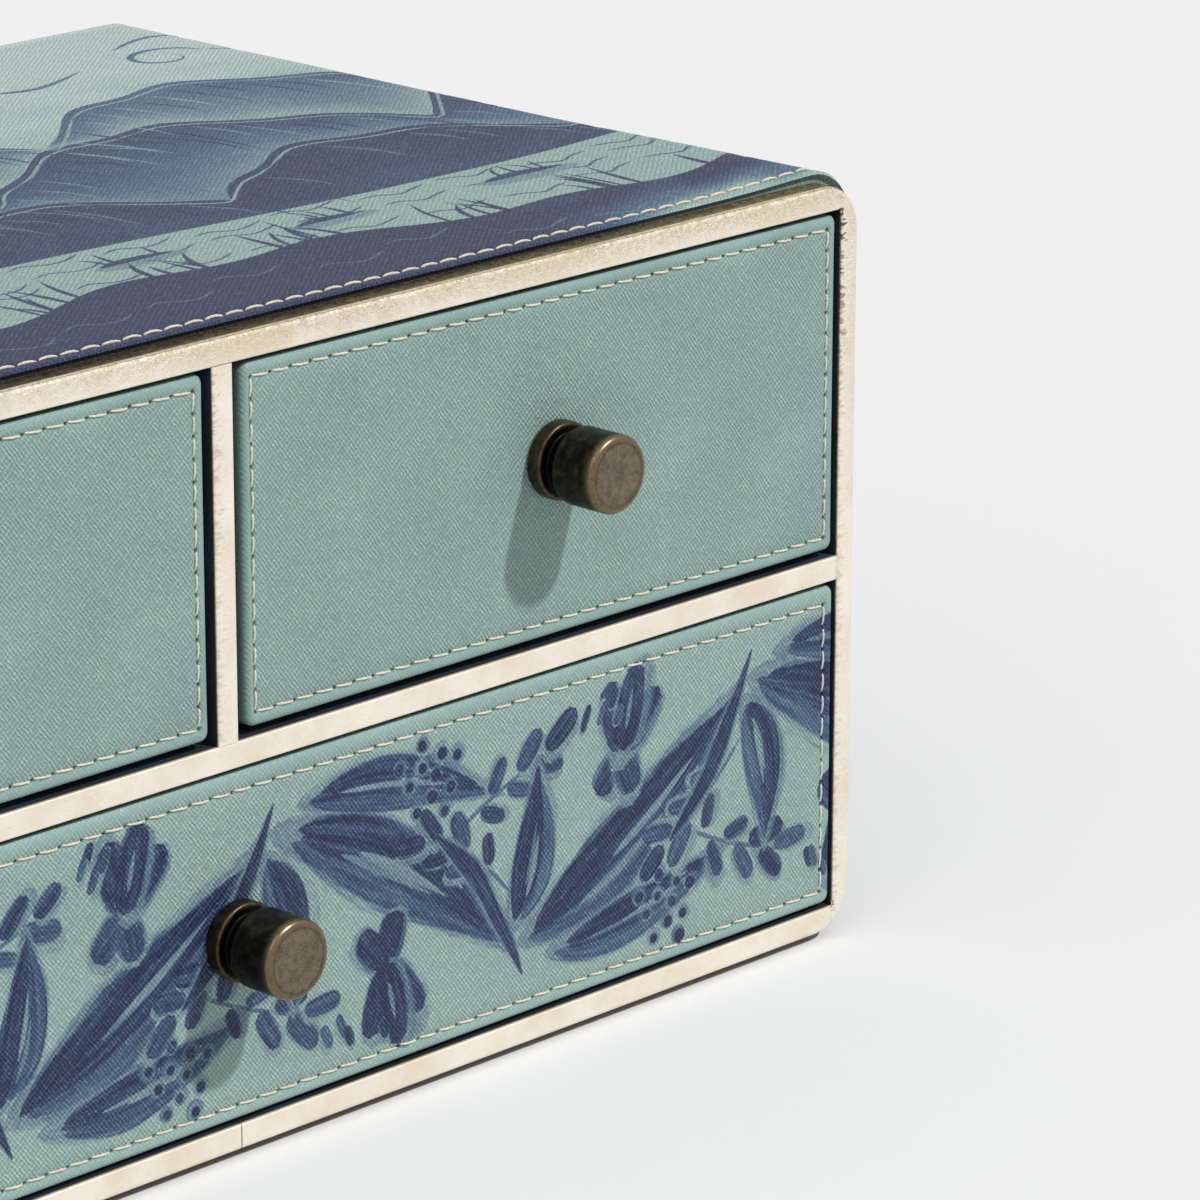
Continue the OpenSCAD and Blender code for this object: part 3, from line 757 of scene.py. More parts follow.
# %% Needle holes and topstitch
HOLE_RADIUS = 0.5       # mm, of the dent around a needle hole
SEAM_DEPTH = 0.28       # mm that the hide sinks along a seam
HOLE_DEPTH = 0.36       # mm more at a hole
THREAD_THICK = 0.5      # mm
STITCH_GAP = 0.4        # mm from a hole's middle to the end of a stitch
DIVE = 0.42             # of the thread's thickness, how deep a stitch's ends lie under the hide
PLY_TWIST = 2.6         # radians that the plies turn in one thickness of thread
HIDE_STEP = 0.6         # mm to each side, over which a stitch feels how the hide lies
STITCH_RINGS, STITCH_SIDES = 13, 8


def evenly_along(start, end, pitch):
    """Points from start to end at an even spacing near the pitch."""
    count = round((end - start).length / pitch)
    return [start.lerp(end, k / count) for k in range(count + 1)]


def hole_dents(holes):
    """A function that says how close a flat point is to a needle hole: 1 in its middle, 0 outside."""
    shelf = {}
    for hole in holes:
        for i in (-1, 0, 1):
            for j in (-1, 0, 1):
                shelf.setdefault((math.floor(hole.x) + i, math.floor(hole.y) + j), []).append(hole)

    def closeness(x, y):
        """How close one flat point is to the nearest hole."""
        near = shelf.get((math.floor(x), math.floor(y)), ())
        away = min((math.hypot(x - h.x, y - h.y) for h in near), default=9.0) / HOLE_RADIUS
        return (1 - away * away) ** 2 if away < 1 else 0.0
    return closeness


def hole_points(holes):
    """Mesh points in and around each needle hole."""
    points = []
    for hole in holes:
        points.append(tuple(hole))
        for share, sides in ((0.45, 5), (0.95, 7)):
            for k in range(sides):
                a = 2 * math.pi * (k + share) / sides
                points.append((hole.x + math.cos(a) * HOLE_RADIUS * share,
                               hole.y + math.sin(a) * HOLE_RADIUS * share))
    return points


def topstitch(name, holes, place, closed, seed, slant=0.16, thick=THREAD_THICK):
    """One mesh of all the stitches between the holes. Each dives at its ends and leans across the seam."""
    rng = random.Random(seed)
    verts, faces = [], []
    pairs = list(zip(holes, holes[1:] + holes[:1] if closed else holes[1:]))
    for a, b in pairs:
        ahead = (b - a).normalized()
        aside = left_of(ahead)
        a, b = a + ahead * STITCH_GAP + aside * slant, b - ahead * STITCH_GAP - aside * slant
        high = thick * rng.uniform(0.3, 0.42)
        twist = rng.uniform(0, math.pi)
        wander = rng.uniform(-0.05, 0.05)
        first = len(verts)
        for k in range(STITCH_RINGS):
            t = 0.5 - 0.5 * math.cos(math.pi * k / (STITCH_RINGS - 1))
            flat = a.lerp(b, t) + aside * wander * math.sin(math.pi * t)
            along, over = [(place(*(flat + way)) - place(*(flat - way))).normalized()
                           for way in (ahead * HIDE_STEP, aside * HIDE_STEP)]
            up = along.cross(over).normalized()
            arch = math.sin(math.pi * t) ** 0.45
            centre = place(*flat) + up * MM * (arch * (high + DIVE * thick) - DIVE * thick)
            turn = twist + PLY_TWIST * t * (b - a).length / thick
            taper = 0.72 + 0.28 * arch
            for s in range(STITCH_SIDES):
                angle = 2 * math.pi * s / STITCH_SIDES
                ply = thick / 2 * MM * taper * (0.86 + 0.16 * math.cos(2 * (angle - turn)))
                verts.append(centre + (over * math.cos(angle) + up * math.sin(angle)) * ply)
        rings = [[first + k * STITCH_SIDES + s for s in range(STITCH_SIDES)] for k in range(STITCH_RINGS)]
        for ring, following in zip(rings, rings[1:]):
            for s in range(STITCH_SIDES):
                n = (s + 1) % STITCH_SIDES
                faces.append((ring[s], ring[n], following[n], following[s]))
        faces += [rings[0][::-1], rings[-1]]
    mesh = bpy.data.meshes.new(name)
    mesh.from_pydata(verts, [], faces)
    turn_outwards(mesh, smooth_below=60)
    print(name, "has", len(pairs), "stitches")
    return mesh


def turn_outwards(mesh, smooth_below):
    """Turns every face outwards and smooths the edges that bend less than the given degrees."""
    bm = bmesh.new()
    bm.from_mesh(mesh)
    bmesh.ops.recalc_face_normals(bm, faces=bm.faces)
    bm.to_mesh(mesh)
    bm.free()
    mesh.shade_smooth()
    mesh.set_sharp_from_angle(angle=math.radians(smooth_below))


print("thread is", THREAD_THICK, "mm thick")

# %% [markdown]
# ## Drawer faces
#
# Each face is a board with hide glued over its front and turned in behind its edges. Seen close, the
# front is not flat: it rolls over at the rim, stands a little proud between the rim and the seam, and
# dips at the seam. Those heights are a formula of how far a point lies inside the outline.

# %% How a face's hide lies
FACE_CORNER = 1.8        # mm, seen from the front
FACE_ROLL = 1.1          # mm, radius where the front rolls over its long edges
END_ROLL = {"upper_left": 1.8, "upper_right": 1.6, "lower": 1.0}   # mm, the same at its two ends
FACE_SEAM_IN = 2.5       # mm from the outline to the seam
SEAM_DROP = {"upper_left": 0.0, "upper_right": 0.0, "lower": 0.9}   # mm more above the top seam
SEAM_ASIDE = {"upper_left": 0.0, "upper_right": 0.35, "lower": 0.0}   # mm nearer to the left end
STANDING_PITCH = 0.88    # a seam's stitches are a little shorter at the ends than along the face
FACE_SEAM_CORNER = 0.9   # mm, radius of the groove's corners: the seam itself turns at a hole
FACE_GROOVE = 0.75       # mm, half the width of the groove that a seam sinks in
FACE_PLUMP = 0.08        # mm that the hide lies lower inside the seam than beside it
FACE_WAVE = 0.12         # mm, the glued hide's slight waviness
FACE_GRID = 3.6          # mm between the mesh's points in the middle of a face
STRETCHED_TO = 3.2       # mm from the outline, how far the hide is pulled smooth over the rim
STRETCH_FADE = 1.8       # mm over which that fades
FACE_BEHIND = 1.15       # mm from the front to the board behind the hide
FACE_TURN_IN = 0.75      # mm of hide at the sides of the board


def inset_of(x, y, half_w, half_h, corner):
    """How far a point lies inside a rounded rectangle's outline."""
    dx, dy = abs(x) - (half_w - corner), abs(y) - (half_h - corner)
    return corner - math.hypot(max(dx, 0.0), max(dy, 0.0)) - min(max(dx, dy), 0.0)


def rounded_loop(half_w, half_h, corner, spacing):
    """A closed line round a rounded rectangle, anticlockwise."""
    loop, corner_steps = [], 5
    for quarter, (sx, sy) in enumerate(((1, 1), (-1, 1), (-1, -1), (1, -1))):
        cx, cy = sx * (half_w - corner), sy * (half_h - corner)
        for k in range(corner_steps + 1):
            a = math.pi / 2 * (quarter + k / corner_steps)
            loop.append(Vector((cx + math.cos(a) * corner, cy + math.sin(a) * corner)))
        side = half_w - corner if quarter in (0, 2) else half_h - corner
        steps = max(1, round(2 * side / spacing))
        end = Vector((-sx * (half_w - corner), sy * half_h)) if quarter in (0, 2) else \
            Vector((sx * half_w, -sy * (half_h - corner)))
        start = loop[-1]
        loop += [start.lerp(end, k / steps) for k in range(1, steps)]
    return loop


def face_hide(drawer, marks, pitch, wash=None):
    """A drawer face: hide over a board, sewn round its rim. Returns its mesh and its stitches' mesh."""
    low, high = face_boxes[drawer]
    half_w, half_h = (high.x - low.x) / 2, (high.z - low.z) / 2
    mid_x, mid_z, deep = (low.x + high.x) / 2, (low.z + high.z) / 2, high.y - low.y
    seed = DRAWERS.index(drawer) * 40.0
    sunk, aside, end_roll = SEAM_DROP[drawer] / 2, SEAM_ASIDE[drawer], END_ROLL[drawer]
    w, h = half_w - FACE_SEAM_IN + aside, half_h - FACE_SEAM_IN - sunk
    middle = Vector((-aside, -sunk))
    turns = [Vector(c) + middle for c in ((w, h), (-w, h), (-w, -h), (w, -h), (w, h))]
    holes = []
    for start, end, share in zip(turns, turns[1:], (1, STANDING_PITCH, 1, STANDING_PITCH)):
        holes += evenly_along(start, end, pitch * share)[:-1]
    close_to_hole = hole_dents(holes)

    def inset(x, y):
        """How far a point lies inside the face's outline."""
        return inset_of(x, y, half_w, half_h, FACE_CORNER)

    def roll_of(x, y):
        """The rolled rim's radius: it goes from the long edges' to the ends' round each corner."""
        to_end, to_long = max(0.0, half_w - abs(x)), max(0.0, half_h - abs(y))
        return end_roll + (FACE_ROLL - end_roll) * to_end / max(1e-6, to_end + to_long)

    def drop(x, y):
        """Depth of the hide behind the face's front plane."""
        inside, radius = inset(x, y), roll_of(x, y)
        roll = max(0.0, radius - inside)
        deep_here = radius - math.sqrt(max(0.0, radius ** 2 - roll ** 2))
        to_seam = inset_of(x + aside, y + sunk, w, h, FACE_SEAM_CORNER)
        deep_here += SEAM_DEPTH * math.exp(-(to_seam / FACE_GROOVE) ** 2)
        deep_here += FACE_PLUMP * clamped((to_seam + 0.2) / 3)
        wave = noise.noise(Vector((x * 0.045, y * 0.045, seed))) * 0.5 + 0.5
        return deep_here + FACE_WAVE * wave * clamped(inside / 5)

    def place(x, y, dent=HOLE_DEPTH):
        """Where a flat point lies on the drawer, dented at the holes."""
        return Vector((mid_x + x, low.y + drop(x, y) + dent * close_to_hole(x, y), mid_z + y)) * MM

    lines = []
    for degrees in (0, 12, 25, 40, 58, 78):     # closer together where the rim rolls most
        off = 2.0 * (1 - math.cos(math.radians(degrees)))
        lines.append((rounded_loop(half_w - off, half_h - off, max(FACE_CORNER - off, 0.5), 3.0), True))
    for off in (-1.0, -0.6, -0.3, 0.3, 0.6, 1.1):
        loop = rounded_loop(w - off, h - off, FACE_SEAM_CORNER - off * 0.5, 1.4)
        lines.append(([point + middle for point in loop], True))
    points = hole_points(holes)
    for i in range(-int(half_w / FACE_GRID), int(half_w / FACE_GRID) + 1):
        for j in range(-int(half_h / FACE_GRID), int(half_h / FACE_GRID) + 1):
            x, y = (i + 0.5 * (j % 2)) * FACE_GRID, j * FACE_GRID
            if inset(x, y) > FACE_SEAM_IN + 2.5:
                points.append((x, y))
    # The needle holes are darkened as painted shade.
    fields = {"painted_shade": lambda x, y: clamped(1.3 * close_to_hole(x, y)),
              "stretched": lambda x, y: clamped((STRETCHED_TO - inset(x, y)) / STRETCH_FADE)}
    mesh = cut_hide(f"{drawer}_face", lines, points, marks, lambda x, y: inset(x, y) > -1e-3, place,
                    fields, wash)
    back = ((0.0, deep - 0.4), (0.3, deep), (FACE_TURN_IN, deep), (FACE_TURN_IN, FACE_BEHIND))
    turn_behind(mesh, back, Vector((mid_x, low.y, mid_z)), inset)
    return mesh, topstitch(f"{drawer}_seam", holes, partial(place, dent=0.0), True, seed)


def turn_behind(mesh, steps, middle, inset):
    """Carries a face's open rim down the board's sides, in behind it, and closes it there. It goes round
    the rim in order, so that each run gives the same mesh, and it carries the print over the edge."""
    bm = bmesh.new()
    bm.from_mesh(mesh)
    uv = bm.loops.layers.uv["flat_hide"]
    inks = [*bm.loops.layers.float_color.values(), *bm.loops.layers.float.values()]
    edge = next(edge for edge in bm.edges if edge.is_boundary)
    ring, printed, flat = [edge.verts[0]], [], []
    while not printed or ring[-1] != ring[0]:
        vert, following = ring[-1], edge.other_vert(ring[-1])
        at_corner = {loop.vert: [copy(loop[ink]) for ink in inks] for loop in edge.link_faces[0].loops}
        printed.append((at_corner[vert], at_corner[following]))
        x, y = vert.co.x / MM - middle.x, vert.co.z / MM - middle.z
        e = 0.05    # mm
        inward = Vector((inset(x + e, y) - inset(x - e, y), inset(x, y + e) - inset(x, y - e)))
        flat.append((Vector((x, y)), inward.normalized()))
        ring.append(following)
        edge = next(other for other in following.link_edges if other.is_boundary and other != edge)
    flat.append(flat[0])
    for off, depth in steps:
        made = []
        for vert, (point, inward) in zip(ring[:-1], flat):
            at = point + inward * off
            place = Vector((middle.x + at.x, middle.y + depth, middle.z + at.y)) * MM
            made.append(bm.verts.new(place, vert))
        made.append(made[0])
        for k, (left, right) in enumerate(printed):
            face = bm.faces.new((ring[k + 1], ring[k], made[k], made[k + 1]))
            for loop, values, i in zip(face.loops, (right, left, left, right), (k + 1, k, k, k + 1)):
                point, inward = flat[i]
                loop[uv].uv = point - inward * (loop.vert.co.y / MM - middle.y)
                for ink, value in zip(inks, values):
                    loop[ink] = value
        ring = made
    bm.faces.new(ring[:-1])
    bm.to_mesh(mesh)
    bm.free()
    turn_outwards(mesh, smooth_below=50)


print("a face's seam lies", FACE_SEAM_IN, "mm inside its outline")

# %% [markdown]
# ## The wide drawer's print
#
# A painted garland runs along the wide drawer: long willow leaves, sprays of buds, drooping flowers and
# bunches of berries, in navy ink thinned with water. Each leaf is a pale wet edge under three loaded
# strokes, with light streaks where the bristles parted, and each bud is a pale touch under a dark one.
# Ink over ink goes darker, as it does on paper.


# %% Paint the leaf garland
SEED_TURN = 2.4     # radians from one berry to the next, about the golden angle
GARLAND_STEP = 58.0     # mm from one module to the next


def willow_leaf(marks, root, angle, length, width, curl, rng):
    """A pale wet edge, three loaded strokes, and light streaks where the bristles part."""
    ahead, root = heading(angle), Vector(root)
    aside = left_of(ahead)

    def at(t, side):
        """A point of the leaf: how far along it, and how far to one side."""
        spread = side * width * math.sin(math.pi * clamped(t) ** 0.85)
        return root + ahead * length * t + aside * (curl * length * t * t + spread)
    stroke(marks, [at(t, 0.05) for t in (-0.04, 0.3, 0.65, 1.05)], width * 1.3, 0.32, steps=6)
    for side, broad, tone in ((-0.26, 0.62, 0.56), (0.24, 0.66, 0.84), (0.02, 0.5, 0.7)):
        start, end = rng.uniform(0.0, 0.1), rng.uniform(0.9, 1.0)
        knots = [at(start + (end - start) * q, side) for q in (0, 0.33, 0.67, 1)]
        stroke(marks, knots, width * broad, tone + rng.uniform(-0.06, 0.06), steps=6)
    for k in range(2):
        start, side = rng.uniform(0.15, 0.45), rng.uniform(-0.16, 0.1)
        knots = [at(start + q, side) for q in (0.0, 0.2, 0.4)]
        stroke(marks, knots, width * rng.uniform(0.13, 0.2), rng.uniform(0.2, 0.42), steps=5)


def wet_dab(marks, foot, angle, length, width, tone, rng):
    """One petal or bud: a pale touch of water with a darker, shorter one laid over it."""
    ahead, foot = heading(angle), Vector(foot)
    drift = Vector((rng.uniform(-0.12, 0.2), rng.uniform(-0.24, 0.06))) * length
    stroke(marks, [foot + drift + ahead * length * q for q in (-0.04, 0.5, 1.08)], width * 1.15,
           tone * 0.36, swell=blunt_swell, steps=4)
    stroke(marks, [foot + ahead * length * q for q in (0.0, 0.5, 1.0)], width, tone,
           swell=blunt_swell, steps=4)


def bud_spray(marks, root, angle, length, curl, count, rng):
    """A thin stalk with wet buds on both sides, larger towards its tip."""
    ahead, root = heading(angle), Vector(root)

    def on_stalk(t):
        """A point of the stalk."""
        return root + ahead * length * t + left_of(ahead) * curl * length * t * t
    stroke(marks, [on_stalk(t) for t in (0, 0.3, 0.6, 1)], 1.1, 0.5, swell=line_swell, steps=5)
    for k in range(count):
        t = 0.3 + 0.7 * k / (count - 1)
        lean = angle + 2 * curl * t + (0.8 if k % 2 else -0.8) * (1.1 - 0.6 * t)
        foot = on_stalk(t) + heading(lean) * 1.2
        long = rng.uniform(6.4, 9.4) * (0.75 + 0.35 * t)
        wet_dab(marks, foot, lean, long, long * 0.62, rng.uniform(0.6, 0.92), rng)


def bell_flower(marks, centre, size, turn, rng):
    """Three fat petals that lean together over two smaller ones."""
    centre = Vector(centre)
    for lean, share in ((2.6, 0.62), (-2.6, 0.58), (0.5, 0.92), (-0.5, 0.88), (0.0, 1.05)):
        wet_dab(marks, centre, turn + lean, size * share, size * 0.56, rng.uniform(0.72, 0.92), rng)
    stroke(marks, [centre + heading(turn) * size * q for q in (0.25, 0.5, 0.75)], size * 0.1, 0.3,
           steps=4)


def berries(marks, centre, count, spread, rng):
    """A bunch of round touches, set as seeds are in a flower head: pale, then a dark heart in each."""
    spots = [Vector(centre) + heading(SEED_TURN * k) * spread * math.sqrt((k + 0.3) / count)
             for k in range(count)]
    for spot in spots:
        dab(marks, spot, rng.uniform(2.2, 2.7), rng.uniform(0.3, 0.42))
    for spot in spots:
        dab(marks, spot + Vector((rng.uniform(-0.4, 0.4), -0.3)), rng.uniform(1.2, 1.7),
            rng.uniform(0.75, 0.97), sides=10)


def leaf_garland():
    """The marks of the wide drawer's print: one module, turned over at every other place."""
    rng = random.Random(11)
    marks = []
    for k in range(-3, 4):
        up = 1 if k % 2 else -1
        x = k * GARLAND_STEP + 18

        def turned(dx, dy):
            """A point of the module, seen from its middle."""
            return (x + dx, up * dy)
        willow_leaf(marks, turned(-8, -17), up * 0.32, 60, 16, 0.24 * up, rng)
        willow_leaf(marks, turned(-2, -21), -up * 0.06, 44, 10, 0.26 * up, rng)
        willow_leaf(marks, turned(-11, -14), up * 0.98, 27, 10.5, 0.4 * up, rng)
        bud_spray(marks, turned(31, -6), -up * 0.5, 25, 0.1 * up, 6, rng)
        bud_spray(marks, turned(-12, -7), up * 2.25, 23, 0.25 * up, 6, rng)
        for width, tone in ((7.5, 0.32), (4.6, 0.82)):
            root_vine = [turned(-30, 8), turned(-21, -1), turned(-15, -11), turned(-9, -23)]
            stroke(marks, root_vine, width, tone)
        bell_flower(marks, turned(16, 12), 15.0, up * 1.35, rng)
        berries(marks, turned(27, -19), 11, 8.0, rng)
        for t in range(4):
            wet_dab(marks, (x + rng.uniform(1, 9) + 2.2 * t, up * rng.uniform(17, 22)), up * 1.2,
                    rng.uniform(3.4, 5.6), rng.uniform(2.0, 3.0), rng.uniform(0.55, 0.85), rng)
    return marks


def ground_wash(x, y):
    """A faint breath of ink that clouds the ground of the print."""
    return 0.1 + 0.04 * max(0.0, noise.noise(Vector((x * 0.05, y * 0.08, 3.0))))


FACES = {"upper_left": ([], 4.4, None), "upper_right": ([], 4.4, None),
         "lower": (leaf_garland(), 4.65, ground_wash)}
for drawer, (marks, pitch, wash) in FACES.items():
    face_mesh, seam_mesh = face_hide(drawer, marks, pitch, wash)
    show(f"{drawer}_face", face_mesh, PRINTED_HIDE if marks else TEAL_HIDE, f"{drawer}_drawer",
         "teal_leatherette", f"{drawer}_front_leather")
    show(f"{drawer}_seam", seam_mesh, THREAD, f"{drawer}_drawer", "teal_leatherette")
    print(drawer, "face:", len(face_mesh.polygons), "faces from", len(marks), "marks")

# %% [markdown]
# ## The cover
#
# One printed hide runs under the left corner, up the side, over the top and down the right side. At the
# front it is folded in and sewn, which makes a plump rolled edge behind the champagne frame. The flat
# drawing has s along the way round the case and v from the front fold to the back.

# %% How the cover lies
COVER_CORNER = 10.2    # mm, outside radius at the case's corners
COVER_THICK = 1.5      # mm
COVER_FOLD = 0.75      # mm, radius of the folded edges
COVER_SEAM_IN = 3.2    # mm from the fold to the seam
COVER_RETURN = 3.0     # mm that the fold runs back inside
COVER_PITCH = 4.38     # mm from hole to hole
COVER_GROOVE = 0.8     # mm, half the width of the groove that the seam sinks in
COVER_WAVE = 0.2       # mm, the glued hide's slight waviness
COVER_GRID = 4.0       # mm between the mesh's points
CORNER_PUFF = 0.8      # mm that the hide stands off the boards at the front corners
PUFF_ROUND, PUFF_BACK = 17, 70    # mm that this reaches round the case, and back from the front

half_top = cover_high.x - COVER_CORNER
arc = math.pi / 2 * COVER_CORNER
side_run = cover_high.z - cover_low.z - 2 * COVER_CORNER
half_round = half_top + 2 * arc + side_run
fold_arc = math.pi / 2 * COVER_FOLD
depth_run = cover_high.y - cover_low.y - 2 * COVER_FOLD
v_back = 2 * fold_arc + depth_run
print("the cover is", round(2 * half_round, 1), "by", round(v_back, 1), "mm flat")


def cover_round(s):
    """Where the way round the case has come to: x, z and the outward direction."""
    side, s = (1, s) if s >= 0 else (-1, -s)
    top, high_z, low_z = cover_high.z, cover_high.z - COVER_CORNER, cover_low.z + COVER_CORNER
    if s <= half_top:
        x, z, nx, nz = s, top, 0.0, 1.0
    elif s <= half_top + arc:
        a = (s - half_top) / COVER_CORNER
        nx, nz = math.sin(a), math.cos(a)
        x, z = half_top + nx * COVER_CORNER, high_z + nz * COVER_CORNER
    elif s <= half_top + arc + side_run:
        x, z, nx, nz = cover_high.x, high_z - (s - half_top - arc), 1.0, 0.0
    else:
        a = (s - half_top - arc - side_run) / COVER_CORNER
        nx, nz = math.cos(a), -math.sin(a)
        x, z = half_top + nx * COVER_CORNER, low_z + nz * COVER_CORNER
    return side * x, z, side * nx, nz


def cover_through(v):
    """Where the way from front to back has come to: y, and the depth below the outer surface."""
    if v > v_back / 2:
        y, depth = cover_through(v_back - v)
        return cover_low.y + cover_high.y - y, depth
    bend = (v - fold_arc) / COVER_FOLD + math.pi / 2
    if v >= fold_arc:
        return cover_low.y + COVER_FOLD + v - fold_arc, 0.0
    if v >= -fold_arc:
        return cover_low.y + COVER_FOLD * (1 - math.sin(bend)), COVER_FOLD * (1 - math.cos(bend))
    return cover_low.y + COVER_FOLD - (v + fold_arc), COVER_THICK - 0.05


COVER_SEAM_V = fold_arc + COVER_SEAM_IN - COVER_FOLD
seam_ends = [Vector((side * (half_round - 2), COVER_SEAM_V)) for side in (-1, 1)]
cover_holes = evenly_along(*seam_ends, COVER_PITCH)
close_to_cover_hole = hole_dents(cover_holes)


def cover_sink(s, v):
    """How far the hide lies below the cover's outer surface: the seam, a slight waviness, and less than
    nothing at the front corners, where the hide does not lie close over the boards."""
    seam = SEAM_DEPTH * math.exp(-((v - COVER_SEAM_V) / COVER_GROOVE) ** 2)
    wave = noise.noise(Vector((s * 0.03, v * 0.03, 9.0))) * 0.5 + 0.5
    puff = math.exp(-((abs(s) - half_top - arc * 0.3) / PUFF_ROUND) ** 2) * max(0.0, 1 - v / PUFF_BACK)
    puff *= clamped((v + fold_arc) / (2 * fold_arc))
    return seam + COVER_WAVE * wave * clamped(min(v, v_back - v) / 8) - CORNER_PUFF * puff


def cover_place(s, v, dent=HOLE_DEPTH):
    """Where a flat point of the cover lies on the case, dented at the holes."""
    x, z, nx, nz = cover_round(s)
    y, depth = cover_through(v)
    depth += cover_sink(s, v) + dent * close_to_cover_hole(s, v)
    return Vector((x - nx * depth, y, z - nz * depth)) * MM


print("the cover's seam has", len(cover_holes), "holes")

# %% [markdown]
# ## The cover's print
#
# A river landscape covers the top: a dark bank with reeds, pale water with small islets, three
# rows of misty hills drawn with hatching, and a pale sky with curling clouds towards the back. The big
# areas are a wash that each mesh point carries, and everything fine is a stroke.


# %% Paint the river and hills
HILLS = ((60, 24, 27.0, 0.9), (84, 30, 33.0, 2.3), (112, 26, 29.0, 4.1))   # mm: foot, rise, span; shift
HILL_INK = ((0.92, 0.1), (0.82, 0.5), (0.6, 0.45))      # at the skyline, and how much paler at the foot
HATCH_INK = ((0.35, 1.0), (0.3, 0.98), (0.2, 0.8))      # the pale and the dark hatching of each row
PALE_BANK = 82, 30, 15      # mm right of the middle where the front edge pales, over what way, how deep


def bank_edge(s):
    """Where the dark bank ends and the water starts."""
    return 25 + 5 * math.sin(s / 29.0 + 0.6) + 2.0 * math.sin(s / 8.0 + 1)


def water_top(s):
    """Where the water meets the first hills."""
    return 50 + 2.5 * math.sin(s / 37.0 + 2)


def hill_line(s, row):
    """The skyline of one row of hills."""
    base, rise, span, shift = HILLS[row]
    return base + rise * abs(math.sin(s / span + shift)) ** 0.85 + 1.6 * math.sin(s / 4.7 + row)


def river_wash(s, v):
    """The ground's ink before any stroke: bank, water, misty hills and sky."""
    start, way, deep = PALE_BANK
    fade = clamped((s - start) / way) if 0 < s < 175 else 0.0
    cloud = noise.noise(Vector((s * 0.07, v * 0.12, 5.0)))
    if v < bank_edge(s):
        return max(0.08, min(1.0, 0.97 - 0.95 * fade * max(0.0, 1 - v / deep) + 0.4 * cloud * fade))
    if v < water_top(s):
        return 0.1
    foot = water_top(s)
    for row, (ink, paler) in enumerate(HILL_INK):
        top = hill_line(s, row)
        if v < top:
            rise = (v - foot) / max(4.0, top - foot)
            return (ink - paler * (1 - rise) ** 1.5) - 0.08 * cloud
        foot = max(foot, top)
    # Beyond the hills the sky pales towards the back: part of the print, and partly a painted reflection
    # of the bright room where the top is seen at a grazing angle.
    return max(0.0, 0.1 - 0.0015 * (v - 90) + 0.05 * cloud)


def blade(marks, foot, v, lean, tall, bow, width, tone, steps):
    """One blade of grass or reed, bowed a little before it leans."""
    stroke(marks, [(foot, v), (foot + lean * bow, v + tall * 0.6), (foot + lean, v + tall)], width, tone,
           steps=steps)


def ripple(marks, s, v, height, width, tone):
    """One thin line of ripples or of furrows."""
    stroke(marks, [(s + 4 * t, v + height * math.sin(t * 1.9 + s)) for t in range(5)], width, tone,
           swell=line_swell, steps=4)


def islet(marks, s, v, size, rng):
    """A low dark islet with a pale shore and a few blades of grass."""
    stroke(marks, [(s - 11 * size, v - 1), (s, v - 1.6), (s + 11 * size, v - 0.6)], 5.4 * size, 0.3,
           swell=blunt_swell, steps=5)
    stroke(marks, [(s - 9 * size, v), (s - 2, v + 1), (s + 9 * size, v + 0.4)], 3.6 * size, 0.92, steps=5)
    for k in range(4):
        foot, lean = s + rng.uniform(-6, 6) * size, rng.uniform(-3, 3)
        tall = rng.uniform(5, 9) * size
        blade(marks, foot, v, lean, tall, 0.3, rng.uniform(0.9, 1.4), 0.9, steps=3)


def reeds(marks, s, count, rng):
    """Tall narrow blades that stand on the bank and cross the water."""
    for k in range(count):
        foot = s + rng.uniform(-9, 9)
        tall, lean = rng.uniform(9, 19), rng.uniform(-5, 5)
        blade(marks, foot, bank_edge(foot) - 3, lean, tall, 0.35, rng.uniform(1.1, 1.9), 0.96, steps=5)


def river_and_hills():
    """The marks and crisp outlines of the cover's print."""
    rng = random.Random(5)
    marks = []
    reach = int(half_round) - 3
    steps = range(-reach, reach + 1, 2)
    outlines = [[(s, bank_edge(s)) for s in steps], [(s, water_top(s)) for s in steps]]
    outlines += [[(s, hill_line(s, row)) for s in steps] for row in range(3)]
    for s in range(-reach + 10, reach - 24, 19):
        for k in range(3):
            ripple(marks, s, water_top(s) - 4 - 7 * k + rng.uniform(-2, 2), 1.3, 0.9, 0.62)
        ripple(marks, s, bank_edge(s) - 9 - rng.uniform(0, 7), 1.6, 0.8, 0.4)
    for s in range(-reach + 30, reach - 30, 47):
        islet(marks, s + rng.uniform(-6, 6), 37 + rng.uniform(0, 5), rng.uniform(0.8, 1.2), rng)
    for s in range(-reach + 6, reach - 6, 31):
        reeds(marks, s, 6, rng)
    for row in range(3):
        for start in range(-reach, reach - 40, 42):
            knots = [(start + t, hill_line(start + t, row) - 2.4) for t in range(0, 43, 6)]
            stroke(marks, knots, 1.0, 0.16, swell=line_swell, steps=3)
        for s in range(-reach + 5, reach - 10, 6):
            top = hill_line(s, row) - 4.5
            length, lean = rng.uniform(10, 24), rng.uniform(2, 6)
            stroke(marks, [(s, top), (s + lean, top - length * 0.5), (s + lean * 1.3, top - length)],
                   rng.uniform(0.9, 1.5), HATCH_INK[row][rng.randrange(2)], steps=4)
    for s in range(-reach + 20, reach - 40, 58):
        v = 156 + rng.uniform(-4, 8)
        curl = [(s + 10 * math.cos(a) * (1 - a / 9), v + 8 * math.sin(a) * (1 - a / 9))
                for a in [0.6 * t for t in range(12)]]
        stroke(marks, curl, 2.0, 0.6, steps=3)
        stroke(marks, [(s + 10, v), (s + 22, v - 4), (s + 38, v + 2)], 2.2, 0.55, steps=4)
        stroke(marks, [(s - 4, v + 11), (s + 10, v + 16), (s + 26, v + 10)], 1.8, 0.5, steps=4)
    return marks, outlines


